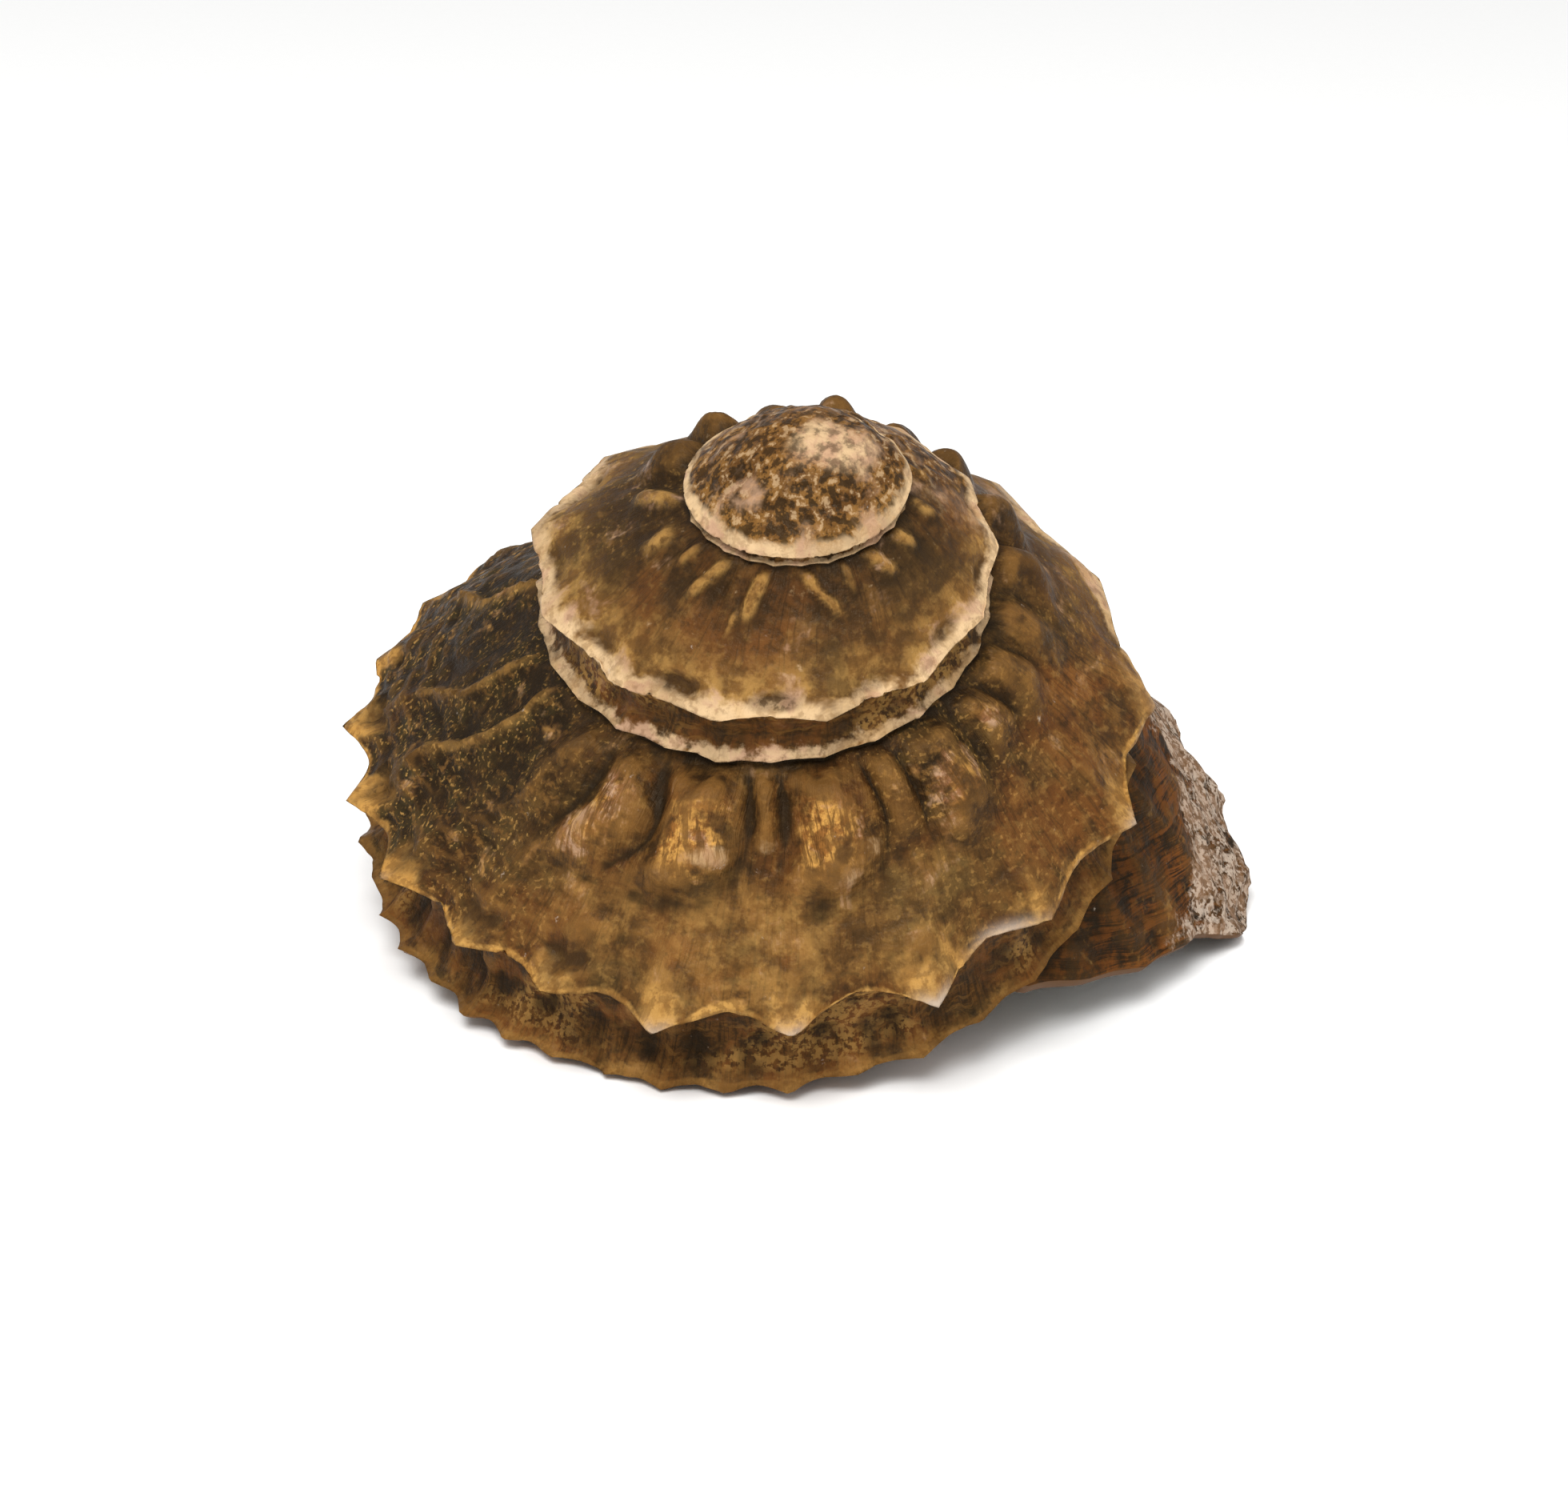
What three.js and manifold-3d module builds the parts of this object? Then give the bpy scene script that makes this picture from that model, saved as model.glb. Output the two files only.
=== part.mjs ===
// A turban shell: one sea-snail shell with two keels on its whorls, lying on its base.
// Millimetres, +Z up. The coil is drawn about its own axis first and is then laid down to rest.
import * as THREE from "three";
import { mergeVertices } from "three/addons/utils/BufferGeometryUtils.js";
import Module from "manifold-3d";

const { smoothstep, clamp, lerp, degToRad } = THREE.MathUtils;

// Driving dimensions. Growth is measured in degrees of turn about the coil's axis.
const KEEL_RADIUS = 23.5; // from the axis to the upper keel, at the growth angle KEEL_AT
const KEEL_AT = 450;
const GROWTH = 1.85; // each turn is this many times as wide as the one before
const SPIRE = 1.2; // height of the spire for each unit of keel radius
const SPIRE_CURVE = 1.065; // over 1 makes the spire's outline slightly hollow
const START = -410; // where the worn tip of the spire begins
const LIP = 770; // where the lip leaves the seam
const LIP_AT_KEEL = 721; // the lip is swept back, so it reaches the upper keel here
const LIP_AT_FOOT = 631; // and the foot of the central pillar here
const APEX_DEPTH = 0.135; // the worn tip, below the point of the spire, in keel radii

const SLOW_FROM = 556; // the last half turn no longer widens
const SLOW_TAIL = 25; // degrees over which the widening dies away
const SLOW_SHARE = 0.6;
const LIP_FLARE = 0.035; // the whorl opens a little again at the lip, over these angles
const LIP_FLARE_OVER = [670, 740];
// Stretches that stand out from the even coil: growth angle, span, share of the radius, and rise.
const SWELLS = [
  [-180, 120, -0.045, 0],
  [202, 48, 0.12, 0.02],
  [570, 36, 0.016, 0.025],
];

const LOW_KEEL_OUT = 1.007; // the lower keel, in upper keel radii
const LOW_KEEL_DROP = 0.276;
const LOW_KEEL_TUCK = 0.12; // it is tucked in and raised towards the lip, over these angles
const LOW_KEEL_RAISED = 0.05;
const LOW_KEEL_TUCK_OVER = [560, 720];
const LOW_KEEL_SAG = 0.035; // it hangs lower where the lip leaves it
const LOW_KEEL_SAG_AT = 430;
const LOW_KEEL_SAG_SPAN = 32;
const EARLY_KEEL_TUCK = 0.04; // on the first whorls it lies close under the upper keel
const EARLY_KEEL_RAISED = 0.165;
const EARLY_KEEL_UNTIL = [-70, 20];
const BEAD = 0.04; // the round edge of the lower keel
const WALL_HOLLOW = 0.085; // how far the wall between the keels is hollowed
const WALL_FLATTER = 0.7; // the share of that hollow that is lost towards the lip, over these angles
const WALL_FLATTER_OVER = [620, 700];
const BASE_SWELL = 0.12; // how far the base bulges below the lower keel
const BASE_SWELL_SHARE = 0.8; // the bulge ends at this share of the way to the pillar
const BASE_RISE = 0.05;
const SHOULDER_SWELL = 0.03;
const FOOT_DEPTH = 1.9; // the foot of the pillar, below the point of the spire
const FOOT_SPREAD = [0.04, 0.38]; // the foot blends into the base between these distances

const FOLD_HEIGHT = 0.1; // folds under the seam, in shoulder widths
const FOLD_SPACING = 18.5; // degrees between folds at FOLD_AT, closer with growth
const FOLD_AT = 90;
const FOLD_CLOSING = 1140; // degrees of growth over which the spacing falls to about a third
const FOLD_SWAY = 0.35; // each fold is bent like an S by this share of the spacing
const FOLD_RISES = [0.02, 0.14]; // across the shoulder, a fold rises and sinks over these shares
const FOLD_SINKS = [0.34, 0.58];
const KNOBS = 0.3; // the folds stand higher in one unworn stretch
const KNOBS_RISE = [170, 220];
const KNOBS_SINK = [320, 350];
const FOLDS_FADE = 0.85; // and are nearly lost near the lip
const FOLDS_FADE_OVER = [540, 620];

// The spines of the upper keel, each as growth angle and length in keel radii.
const SPINES = [
  [364, 0.09],
  [387, 0.1],
  [409, 0.06],
  [430, 0.11],
  [450, 0.12],
  [468, 0.1],
  [485, 0.06],
  [500, 0.06],
  [516, 0.07],
  [531, 0.08],
  [545, 0.07],
];
const EARLY_SPINE_STEP = 28; // degrees between the blunt points of the earlier whorls
const EARLY_SPINE = 0.05;
const LATE_SPINE_STEP = 13; // and between the small points that follow
const LATE_SPINE = 0.032;
const SPINE_SHARP = 1.5; // how suddenly a spine narrows to its tip
const SPINE_FALL = 0.12; // a spine drops by this share of its length
const SPINE_FROM = 0.45; // share of the shoulder's width where a spine starts to stand out
const SPINE_CURL = 1.6;
const SCALE_LENGTH = 0.022; // the small scales of the lower keel

const LIP_EDGE = 1.4; // thickness of the lip's edge
const PILLAR = 4.2; // half thickness of the central pillar at the mouth
const TUBE_CENTRE = 0.54; // middle of the hollow tube, in keel radii from the axis
const TUBE_WIDTH = 0.345;
const TUBE_HEIGHT = 0.27;
const TUBE_LENGTH = 280; // degrees of turn that the tube runs in from the mouth
const TUBE_STEP = 20;
const TUBE_BLEND = 60;
const TUBE_END = 40; // degrees of turn over which its blind end closes
const TUBE_FIRST = 4; // degrees from the mouth's edge to the first ring inside

const LEAN_FORWARD = 22.8; // the axis leans forward over the base as the shell lies at rest
const LEAN_SIDE = 0.5;
const FLAT = 0.45; // depth of the flats worn on the base where the shell rests

// Places across a whorl: 0 seam, 1 upper keel, 2 lower keel, JOIN next seam, FOOT pillar.
const JOIN = 2.2;
const FOOT = 3.2;
const STEP = 4; // degrees of growth between rows
const ACROSS = [0, 0.08, 0.2, 0.33, 0.46, 0.6, 0.8, 1, 1.3, 1.65, 2, JOIN];
const ACROSS_BASE = [2.33, 2.5, 2.7, 2.85, 3, FOOT];
const COLUMNS = [...ACROSS, ...ACROSS_BASE];
const PER_TURN = 360 / STEP;
const ROWS = (LIP - START) / STEP;
const JOIN_COLUMN = ACROSS.length - 1;
const FOOT_COLUMN = COLUMNS.length - 1;

const LEAN_ROWS = 340; // degrees over which the rows lean over until one lies along the lip
const DOME_RING = 0.6; // a ring of the worn tip: its share of the rim's radius and of its depth
const DOME_RING_DEPTH = 0.45;
const PILLAR_FROM = 2.6; // the mouth's edge thickens from here to the foot

const easeOut = (x, length) => length * (1 - Math.exp(-Math.max(x, 0) / length));

// How close a spine count is to a whole one: 1 on a spine, 0 half way between two.
const nearness = (count) => 1 - 2 * Math.abs(count - Math.round(count));

// A bump of height 1 about one growth angle.
const bump = (t, at, span) => Math.exp(-(((t - at) / span) ** 2));

const widening = (t) => SWELLS.reduce((sum, [at, span, out]) => sum + out * bump(t, at, span), 0);
const rising = (t) => SWELLS.reduce((sum, [at, span, , up]) => sum + up * bump(t, at, span), 0);

// Distance from the axis to the upper keel.
function keelRadius(t) {
  const grown = Math.min(t, SLOW_FROM) + SLOW_SHARE * easeOut(t - SLOW_FROM, SLOW_TAIL);
  const flare = 1 + widening(t) + LIP_FLARE * smoothstep(t, ...LIP_FLARE_OVER);
  return KEEL_RADIUS * GROWTH ** ((grown - KEEL_AT) / 360) * flare;
}

// Height of the upper keel, below the point of the spire.
function keelHeight(t) {
  const even = SPIRE * GROWTH ** ((SPIRE_CURVE * (t - KEEL_AT)) / 360);
  return KEEL_RADIUS * (rising(t) - even);
}

// The number of the spine at a growth angle, with fractions between two spines.
function spineCount(t) {
  const last = SPINES.length - 1;
  if (t < SPINES[0][0]) return (t - SPINES[0][0]) / EARLY_SPINE_STEP;
  if (t >= SPINES[last][0]) return last + (t - SPINES[last][0]) / LATE_SPINE_STEP;
  const next = SPINES.findIndex(([at]) => at > t);
  const [from, to] = [SPINES[next - 1][0], SPINES[next][0]];
  return next - 1 + (t - from) / (to - from);
}

// How far the upper keel's spines stand out, in keel radii.
function spineLength(t) {
  const count = spineCount(t);
  const number = Math.round(count);
  const longest = number < 0 ? EARLY_SPINE : (SPINES[number]?.[1] ?? LATE_SPINE);
  return longest * nearness(count) ** SPINE_SHARP;
}

// Each place below is a pair: distance from the axis, and height.
function upperKeel(t) {
  const spine = spineLength(t) * keelRadius(t);
  return [keelRadius(t) + spine, keelHeight(t) - SPINE_FALL * spine];
}

function lowerKeel(t, scales = 1) {
  const scale = SCALE_LENGTH * nearness(2 * spineCount(t)) ** SPINE_SHARP * scales;
  const tuck = smoothstep(t, ...LOW_KEEL_TUCK_OVER);
  const sag = LOW_KEEL_SAG * bump(t, LOW_KEEL_SAG_AT, LOW_KEEL_SAG_SPAN);
  const early = 1 - smoothstep(t, ...EARLY_KEEL_UNTIL);
  const r = keelRadius(t);
  const out = LOW_KEEL_OUT - LOW_KEEL_TUCK * tuck - EARLY_KEEL_TUCK * early + scale;
  const drop = LOW_KEEL_DROP + sag - LOW_KEEL_RAISED * tuck - EARLY_KEEL_RAISED * early;
  return [out * r, keelHeight(t) - drop * r];
}

// The seam below the whorl that grew up to t, just under its lower keel.
function seamBelow(t, scales = 1) {
  const [r, z] = lowerKeel(t, scales);
  return [r - BEAD * keelRadius(t), z - BEAD * keelRadius(t)];
}

// Height of the folds under the seam, 0 to 1, at the growth angle t and the share u of the shoulder.
function foldHeight(t, u) {
  const turned = Math.expm1((t - FOLD_AT) / FOLD_CLOSING) * (FOLD_CLOSING / FOLD_SPACING);
  const wave = 0.5 + 0.5 * Math.cos(2 * Math.PI * (turned + FOLD_SWAY * Math.sin(5 * u)));
  const within = smoothstep(u, ...FOLD_RISES) * (1 - smoothstep(u, ...FOLD_SINKS));
  const knobs = 1 + KNOBS * smoothstep(t, ...KNOBS_RISE) * (1 - smoothstep(t, ...KNOBS_SINK));
  return within * wave * knobs * (1 - FOLDS_FADE * smoothstep(t, ...FOLDS_FADE_OVER));
}

// The sloping shoulder, from the seam at u = 0 to the upper keel at u = 1.
function shoulder(t, u) {
  const [seamR, seamZ] = seamBelow(t - 360);
  const run = keelRadius(t) - seamR;
  const drop = keelHeight(t) - seamZ;
  const raised = SHOULDER_SWELL * Math.sin(Math.PI * u) + FOLD_HEIGHT * foldHeight(t, u);
  const spine = spineLength(t) * keelRadius(t) * smoothstep(u, SPINE_FROM, 1) ** SPINE_CURL;
  const r = seamR + run * u - drop * raised + spine;
  return [r, seamZ + drop * u + run * raised - SPINE_FALL * spine];
}

// The hollowed wall, from the upper keel at w = 0 to the lower keel at w = 1.
function wall(t, w) {
  const [upR, upZ] = upperKeel(t);
  const [lowR, lowZ] = lowerKeel(t);
  const hollowed = 1 - WALL_FLATTER * smoothstep(t, ...WALL_FLATTER_OVER);
  const hollow = WALL_HOLLOW * Math.sin(Math.PI * w) ** 0.65 * hollowed;
  const underSpine = spineLength(t) * (1 - (1 - w) ** 3) * (1 - w);
  return [lerp(upR, lowR, w) - (hollow + underSpine) * keelRadius(t), lerp(upZ, lowZ, w)];
}

// The base, from the lower keel's seam at b = 0 to the foot of the central pillar at b = 1.
function base(t, b) {
  const [seamR, seamZ] = seamBelow(t, (1 - b) ** 6);
  const r = seamR * (1 - b);
  const bulge = BASE_SWELL * Math.sin(Math.PI * Math.min(b / BASE_SWELL_SHARE, 1)) ** 0.8;
  const whorlZ = seamZ - (bulge - BASE_RISE * smoothstep(b, 0.5, 1)) * keelRadius(t);
  const foot = 1 - smoothstep(r / KEEL_RADIUS, ...FOOT_SPREAD);
  return [r, lerp(whorlZ, -FOOT_DEPTH * KEEL_RADIUS, foot)];
}

function outline(t, across) {
  if (across <= 1) return shoulder(t, across);
  if (across <= 2) return wall(t, across - 1);
  if (across > JOIN) return base(t, across - JOIN);
  const [keelR, keelZ] = lowerKeel(t);
  const [seamR, seamZ] = seamBelow(t);
  const under = (across - 2) / (JOIN - 2);
  return [lerp(keelR, seamR, under), lerp(keelZ, seamZ, under)];
}

// A place at a growth angle, with the coil winding clockwise as seen from the tip.
function turned(t, [r, z]) {
  return [r * Math.cos(degToRad(t)), -r * Math.sin(degToRad(t)), z];
}

// The growth angle at which the swept-back lip crosses each place across the whorl.
function lipAngle(across) {
  const stops = [
    [0, LIP],
    [0.3, LIP_AT_KEEL + 30],
    [0.6, LIP_AT_KEEL + 12],
    [1, LIP_AT_KEEL],
    [2, LIP_AT_KEEL - 25],
    [JOIN, LIP_AT_KEEL - 32],
    [2.7, LIP_AT_KEEL - 75],
    [FOOT, LIP_AT_FOOT],
  ];
  const next = Math.max(1, stops.findIndex(([place]) => place >= across));
  const [[from, a], [to, b]] = stops.slice(next - 1, next + 1);
  return lerp(a, b, clamp((across - from) / (to - from), 0, 1));
}

// The rows of the last turn lean over, step by step, until the last one lies along the lip.
function growthAt(row, across) {
  const t = START + row * STEP;
  const leaning = smoothstep(t, LIP - LEAN_ROWS, LIP);
  const inward = (LIP - LIP_AT_FOOT) * smoothstep(across, JOIN, FOOT);
  return t - (LIP - lipAngle(across)) * leaning - inward * (1 - leaning);
}

// Vertices and triangles of one closed surface.
class Surface {
  points = [];
  faces = [];

  add(point) {
    return this.points.push(point) - 1;
  }

  // A strip of faces between two lines of equally many vertices.
  strip(first, second) {
    for (let i = 0; i + 1 < first.length; i++) {
      const corners = [first[i], second[i], second[i + 1], first[i + 1]];
      const used = corners.filter((v, k) => v !== corners[(k + 3) % 4]);
      for (let k = 2; k < used.length; k++) this.faces.push([used[0], used[k - 1], used[k]]);
    }
  }
}

// The outside: every row is a line of vertices from the seam to the next seam or, in the last
// turn, on to the foot. A row's first vertex is the one under the lower keel a turn before.
function addOutside(surface) {
  const foot = surface.add([0, 0, -FOOT_DEPTH * KEEL_RADIUS]);
  const rows = [];
  for (let row = 0; row <= ROWS; row++) {
    const places = row >= ROWS - PER_TURN ? COLUMNS : ACROSS;
    rows.push(
      places.map((across, column) => {
        if (column === 0 && row >= PER_TURN) return rows[row - PER_TURN][JOIN_COLUMN];
        if (column === FOOT_COLUMN) return foot;
        const t = growthAt(row, across);
        return surface.add(turned(t, outline(t, across)));
      }),
    );
  }
  for (let row = 0; row < ROWS; row++) {
    const shared = Math.min(rows[row].length, rows[row + 1].length);
    surface.strip(rows[row].slice(0, shared), rows[row + 1].slice(0, shared));
  }
  return rows;
}

// The worn tip: a low dome over the first turn.
function addTip(surface, rows) {
  const rim = rows.slice(0, PER_TURN).map((row) => row[0]);
  rim.push(...rows[0].slice(1, JOIN_COLUMN + 1).reverse(), rim[0]);
  const tip = surface.add([0, 0, -APEX_DEPTH * KEEL_RADIUS]);
  const dome = rim.slice(0, -1).map((v) => {
    const [x, y, z] = surface.points[v];
    const height = lerp(-APEX_DEPTH * KEEL_RADIUS, z, DOME_RING_DEPTH);
    return surface.add([x * DOME_RING, y * DOME_RING, height]);
  });
  dome.push(dome[0]);
  surface.strip(rim, dome);
  surface.strip(dome, dome.map(() => tip));
}

// How far the hollow keeps in from the mouth's edge.
const edgeThickness = (across) => lerp(LIP_EDGE, PILLAR, smoothstep(across, PILLAR_FROM, FOOT));

// The hollow of the last whorl: rings that start at the mouth's edge and run back up the coil.
function addHollow(surface, rows) {
  const lip = COLUMNS.map((across, column) => ({
    vertex: rows[ROWS][column],
    across,
    t: lipAngle(across),
    thick: edgeThickness(across),
  }));
  const parting = COLUMNS.slice(JOIN_COLUMN + 1, FOOT_COLUMN).map((across, index) => ({
    vertex: rows[ROWS - PER_TURN][JOIN_COLUMN + 1 + index],
    across,
    t: growthAt(ROWS - PER_TURN, across) + 360,
    thick: edgeThickness(across),
  }));
  const mouth = [...lip, ...parting.reverse()];
  for (const edge of mouth) {
    const [x, y, z] = surface.points[edge.vertex];
    const centre = tubeCentre(edge.t);
    edge.angle = Math.atan2(z - centre[1], Math.hypot(x, y) - centre[0]);
    edge.reach = Math.hypot(z - centre[1], Math.hypot(x, y) - centre[0]);
  }
  const ring = (back) => {
    const closing = Math.sqrt(1 - clamp((back - TUBE_LENGTH + TUBE_END) / TUBE_END, 0, 1) ** 2);
    const inside = mouth.map((edge) => {
      const t = edge.t - back;
      const [r, z] = tubeCentre(t);
      const open = Math.max(edge.reach - edge.thick, 1);
      const reach = lerp(open, tubeReach(t, edge.angle), smoothstep(back, 0, TUBE_BLEND)) * closing;
      return surface.add(turned(t, [r + reach * Math.cos(edge.angle), z + reach * Math.sin(edge.angle)]));
    });
    return [...inside, inside[0]];
  };
  let outer = [...mouth.map((edge) => edge.vertex), mouth[0].vertex];
  for (let back = TUBE_FIRST; back < TUBE_LENGTH; back += TUBE_STEP) {
    const inner = ring(back);
    surface.strip(outer, inner);
    outer = inner;
  }
  const end = LIP_AT_KEEL - TUBE_LENGTH;
  const blind = surface.add(turned(end, tubeCentre(end)));
  surface.strip(outer, outer.map(() => blind));
}

function tubeCentre(t) {
  return [TUBE_CENTRE * keelRadius(t), keelHeight(t)];
}

function tubeReach(t, angle) {
  const across = Math.cos(angle) / (TUBE_WIDTH * keelRadius(t));
  const up = Math.sin(angle) / (TUBE_HEIGHT * keelRadius(t));
  return 1 / Math.hypot(across, up);
}

function coiledShell() {
  const surface = new Surface();
  const rows = addOutside(surface);
  addTip(surface, rows);
  addHollow(surface, rows);
  const geometry = new THREE.BufferGeometry();
  geometry.setAttribute("position", new THREE.Float32BufferAttribute(surface.points.flat(), 3));
  geometry.setIndex(surface.faces.flat());
  return geometry;
}

// Lays the coil down on its base and puts the middle of its footprint at the origin.
function laidDown(geometry) {
  geometry.rotateX(degToRad(LEAN_FORWARD));
  geometry.rotateY(degToRad(LEAN_SIDE));
  geometry.computeBoundingBox();
  const { min, max } = geometry.boundingBox;
  geometry.translate(-(min.x + max.x) / 2, -(min.y + max.y) / 2, -min.z - FLAT);
  return geometry;
}

const wasm = await Module();
wasm.setup();

function solid(geometry) {
  const plain = geometry.clone();
  plain.deleteAttribute("normal");
  plain.deleteAttribute("uv");
  const merged = mergeVertices(plain);
  const vertProperties = merged.getAttribute("position").array;
  const triVerts = new Uint32Array(merged.getIndex().array);
  return new wasm.Manifold(new wasm.Mesh({ numProp: 3, vertProperties, triVerts }));
}

function geometryOf(body) {
  const { vertProperties, triVerts } = body.getMesh();
  const geometry = new THREE.BufferGeometry();
  geometry.setAttribute("position", new THREE.BufferAttribute(vertProperties, 3));
  geometry.setIndex(new THREE.BufferAttribute(triVerts, 1));
  geometry.computeVertexNormals();
  return geometry;
}

// Small flats where the base touches the ground.
function wornFlat(geometry) {
  const ground = new THREE.BoxGeometry(8 * KEEL_RADIUS, 8 * KEEL_RADIUS, KEEL_RADIUS);
  ground.translate(0, 0, -KEEL_RADIUS / 2);
  return geometryOf(solid(geometry).subtract(solid(ground)));
}

const shell = new THREE.Mesh(
  wornFlat(laidDown(coiledShell())),
  new THREE.MeshStandardMaterial({ color: 0x7a5a35, roughness: 0.6, metalness: 0 }),
);
shell.name = "shell";

const turbanShell = new THREE.Group();
turbanShell.add(shell);

export default turbanShell;
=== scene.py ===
"""A turban shell, grown row by row round its coil and laid down on a pale table."""

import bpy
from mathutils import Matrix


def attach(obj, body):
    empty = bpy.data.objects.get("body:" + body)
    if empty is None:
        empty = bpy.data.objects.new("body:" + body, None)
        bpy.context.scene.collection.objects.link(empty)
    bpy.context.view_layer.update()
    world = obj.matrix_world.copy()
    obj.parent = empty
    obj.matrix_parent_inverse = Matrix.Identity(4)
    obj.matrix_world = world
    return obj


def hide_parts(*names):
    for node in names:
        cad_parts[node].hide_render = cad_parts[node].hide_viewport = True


bl_info = {
    "name": "Turban Shell",
    "version": (1, 0, 0),
    "blender": (4, 5, 0),
    "location": "View3D > Sidebar > Shell",
    "description": "Grows a turban shell with two keels and sets it on a pale table",
    "category": "Add Mesh",
}

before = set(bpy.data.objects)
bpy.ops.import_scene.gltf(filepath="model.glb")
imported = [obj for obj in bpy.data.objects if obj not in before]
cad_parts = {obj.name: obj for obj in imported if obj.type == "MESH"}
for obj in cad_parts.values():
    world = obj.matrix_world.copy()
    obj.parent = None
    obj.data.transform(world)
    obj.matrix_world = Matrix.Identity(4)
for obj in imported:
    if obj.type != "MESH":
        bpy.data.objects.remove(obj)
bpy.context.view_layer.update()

import functools
import itertools
import math

import bpy
import numpy as np
from bpy.props import FloatProperty, FloatVectorProperty, PointerProperty
from mathutils import Matrix, Vector

MM = 0.001

# Growth is measured in degrees of turn about the coil's axis, and sizes in upper keel radii.
# A pair of growth angles is the stretch over which something fades in or out.
TURN = 360
KEEL_AT = 450  # where the keel radius is measured, at the front
START = -410  # where the worn tip of the spire begins
LIP = 770  # where the lip leaves the seam
LIP_AT_KEEL = 721  # the swept-back lip reaches the upper keel here
LIP_AT_FOOT = 631  # and the foot of the pillar here
LEAN_ROWS = 340  # this many of the last rows lean over towards the lip
EARLY = (330, 372)  # the worn early whorls fade out over this stretch
LATE = (600, 660)  # and the dark last part fades in over this one
SPIRE_CURVE = 1.065  # how much faster the coil drops than it widens
SLOW_FROM = 556  # past here the keel hardly widens
SLOW_SHARE = 0.6  # at first it widens this much as fast, and the rest of it dies away
SLOW_TAIL = 25  # over about this many degrees
SWELLS = [  # growth angle, span, widening and rise
    (-180, 120, -0.045, 0), (202, 48, 0.12, 0.02), (570, 36, 0.016, 0.025),
]
LIP_FLARE = 0.035
LIP_FLARES = (670, 740)

APEX_DEPTH = 0.148  # the worn top lies this far below the point where the coil would begin
TIP_CURVE = 1.9  # how the worn tip falls away from its top
TIP_RINGS = (0.95, 0.88, 0.8, 0.71, 0.62, 0.52, 0.42, 0.32, 0.22, 0.12, 0.05)
FIRST_TAPER = 60  # degrees over which the first rows rise out of the tip
PATCH_AT = (0.9, -1.2)  # the bare patch on the tip, in millimetres from the axis
PATCH_SIZE = (2.9, 2.1)
PATCH_ABOVE = -9  # and no lower than this

LOW_KEEL_OUT = 1.007
LOW_KEEL_DROP = 0.276
LOW_KEEL_TUCK = 0.12  # drawn in and raised towards the lip
LOW_KEEL_RAISED = 0.05
LOW_KEEL_TUCKED = (560, 720)
LOW_KEEL_SAG = 0.035
LOW_KEEL_SAGS = (430, 32)  # growth angle and span
EARLY_KEEL_TUCK = 0.04
EARLY_KEEL_RAISED = 0.165
EARLY_KEEL_UNTIL = (-70, 20)
SCALE_LENGTH = 0.022  # the small points along the lower keel
BEAD = 0.04  # how far the seam below lies in from the lower keel, and under it
WALL_HOLLOW = 0.085
WALL_FLATTENS = (620, 700)
BASE_SWELL = 0.12
BASE_WORKED = (0.03, 0.12, 0.85, 0.95)  # the part of the base that has relief
SHOULDER_SWELL = 0.03
FOOT_DEPTH = 1.9  # the foot of the pillar lies this far below the start of the coil
FOOT_WIDTHS = (0.04, 0.38)  # the base leaves the pillar between these radii

FOLDS = [  # growth angle where each begins, its height and how far down the shoulder it reaches
    (150, 0, 0.3), (206, 1.3, 0.4), (228, 1.6, 0.36), (249, 1.3, 0.42), (269, 1.95, 0.38),
    (290, 1.4, 0.4), (308, 1.6, 0.36), (326, 1.3, 0.4), (344, 1.1, 0.42), (362, 0.8, 0.4),
    (380, 0.9, 0.36), (396, 0.7, 0.34), (408, 0.95, 0.5), (427, 0.75, 0.36), (436, 1.2, 0.52),
    (457, 0.8, 0.27), (464, 1.2, 0.5), (486, 0.9, 0.5), (500, 0.5, 0.44), (515, 0, 0.4),
]
FINGERS = [  # short ridges under the seam: angle, lean, half width, upper and lower end, height
    (-66, 0, 4, 0.06, 0.3, 0.5), (-38, 0, 4, 0.06, 0.3, 0.6),
    (-12, 0, 4, 0.05, 0.3, 0.7), (14, -10, 4, 0.05, 0.3, 0.8),
    (40, -30, 4, 0.05, 0.24, 0.9), (60, -40, 3.6, 0.05, 0.27, 1.1), (74, -20, 2.4, 0.05, 0.26, 0.6),
    (95, -50, 3.4, 0.05, 0.37, 1.2), (110, 10, 3.4, 0.06, 0.38, 1.3), (118, 0, 2, 0.34, 0.5, 0.8),
    (132, 16, 3.6, 0.06, 0.34, 1.2), (150, 0, 3, 0.06, 0.24, 0.7), (168, 0, 6, 0.13, 0.33, 1.0),
    (184, 30, 5, 0.08, 0.34, 1.2),
]
BROAD_FOLDS = (340, 390)  # the folds grow broad over this stretch
OLD_LIPS = [  # growth angle and height
    (506, 0.5), (524, 1.5), (537, 1.2), (560, 1.7), (588, 0.7), (613, 0.35), (642, 0.25), (668, 0.3),
]
# The knobs also carry a painted highlight in cream and rose.
KNOBS = [  # bright lumps at the ends of the folds: growth angle, place across, spans of both, height
    (467, 0.4, 4, 0.05, 1.0), (441, 0.52, 3, 0.05, 0.9), (493, 0.36, 4, 0.07, 0.7),
    (456, 0.35, 2.5, 0.05, 0.6), (474, 0.48, 3.5, 0.04, 0.5), (436, 0.42, 2.5, 0.06, 0.6),
]

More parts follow.
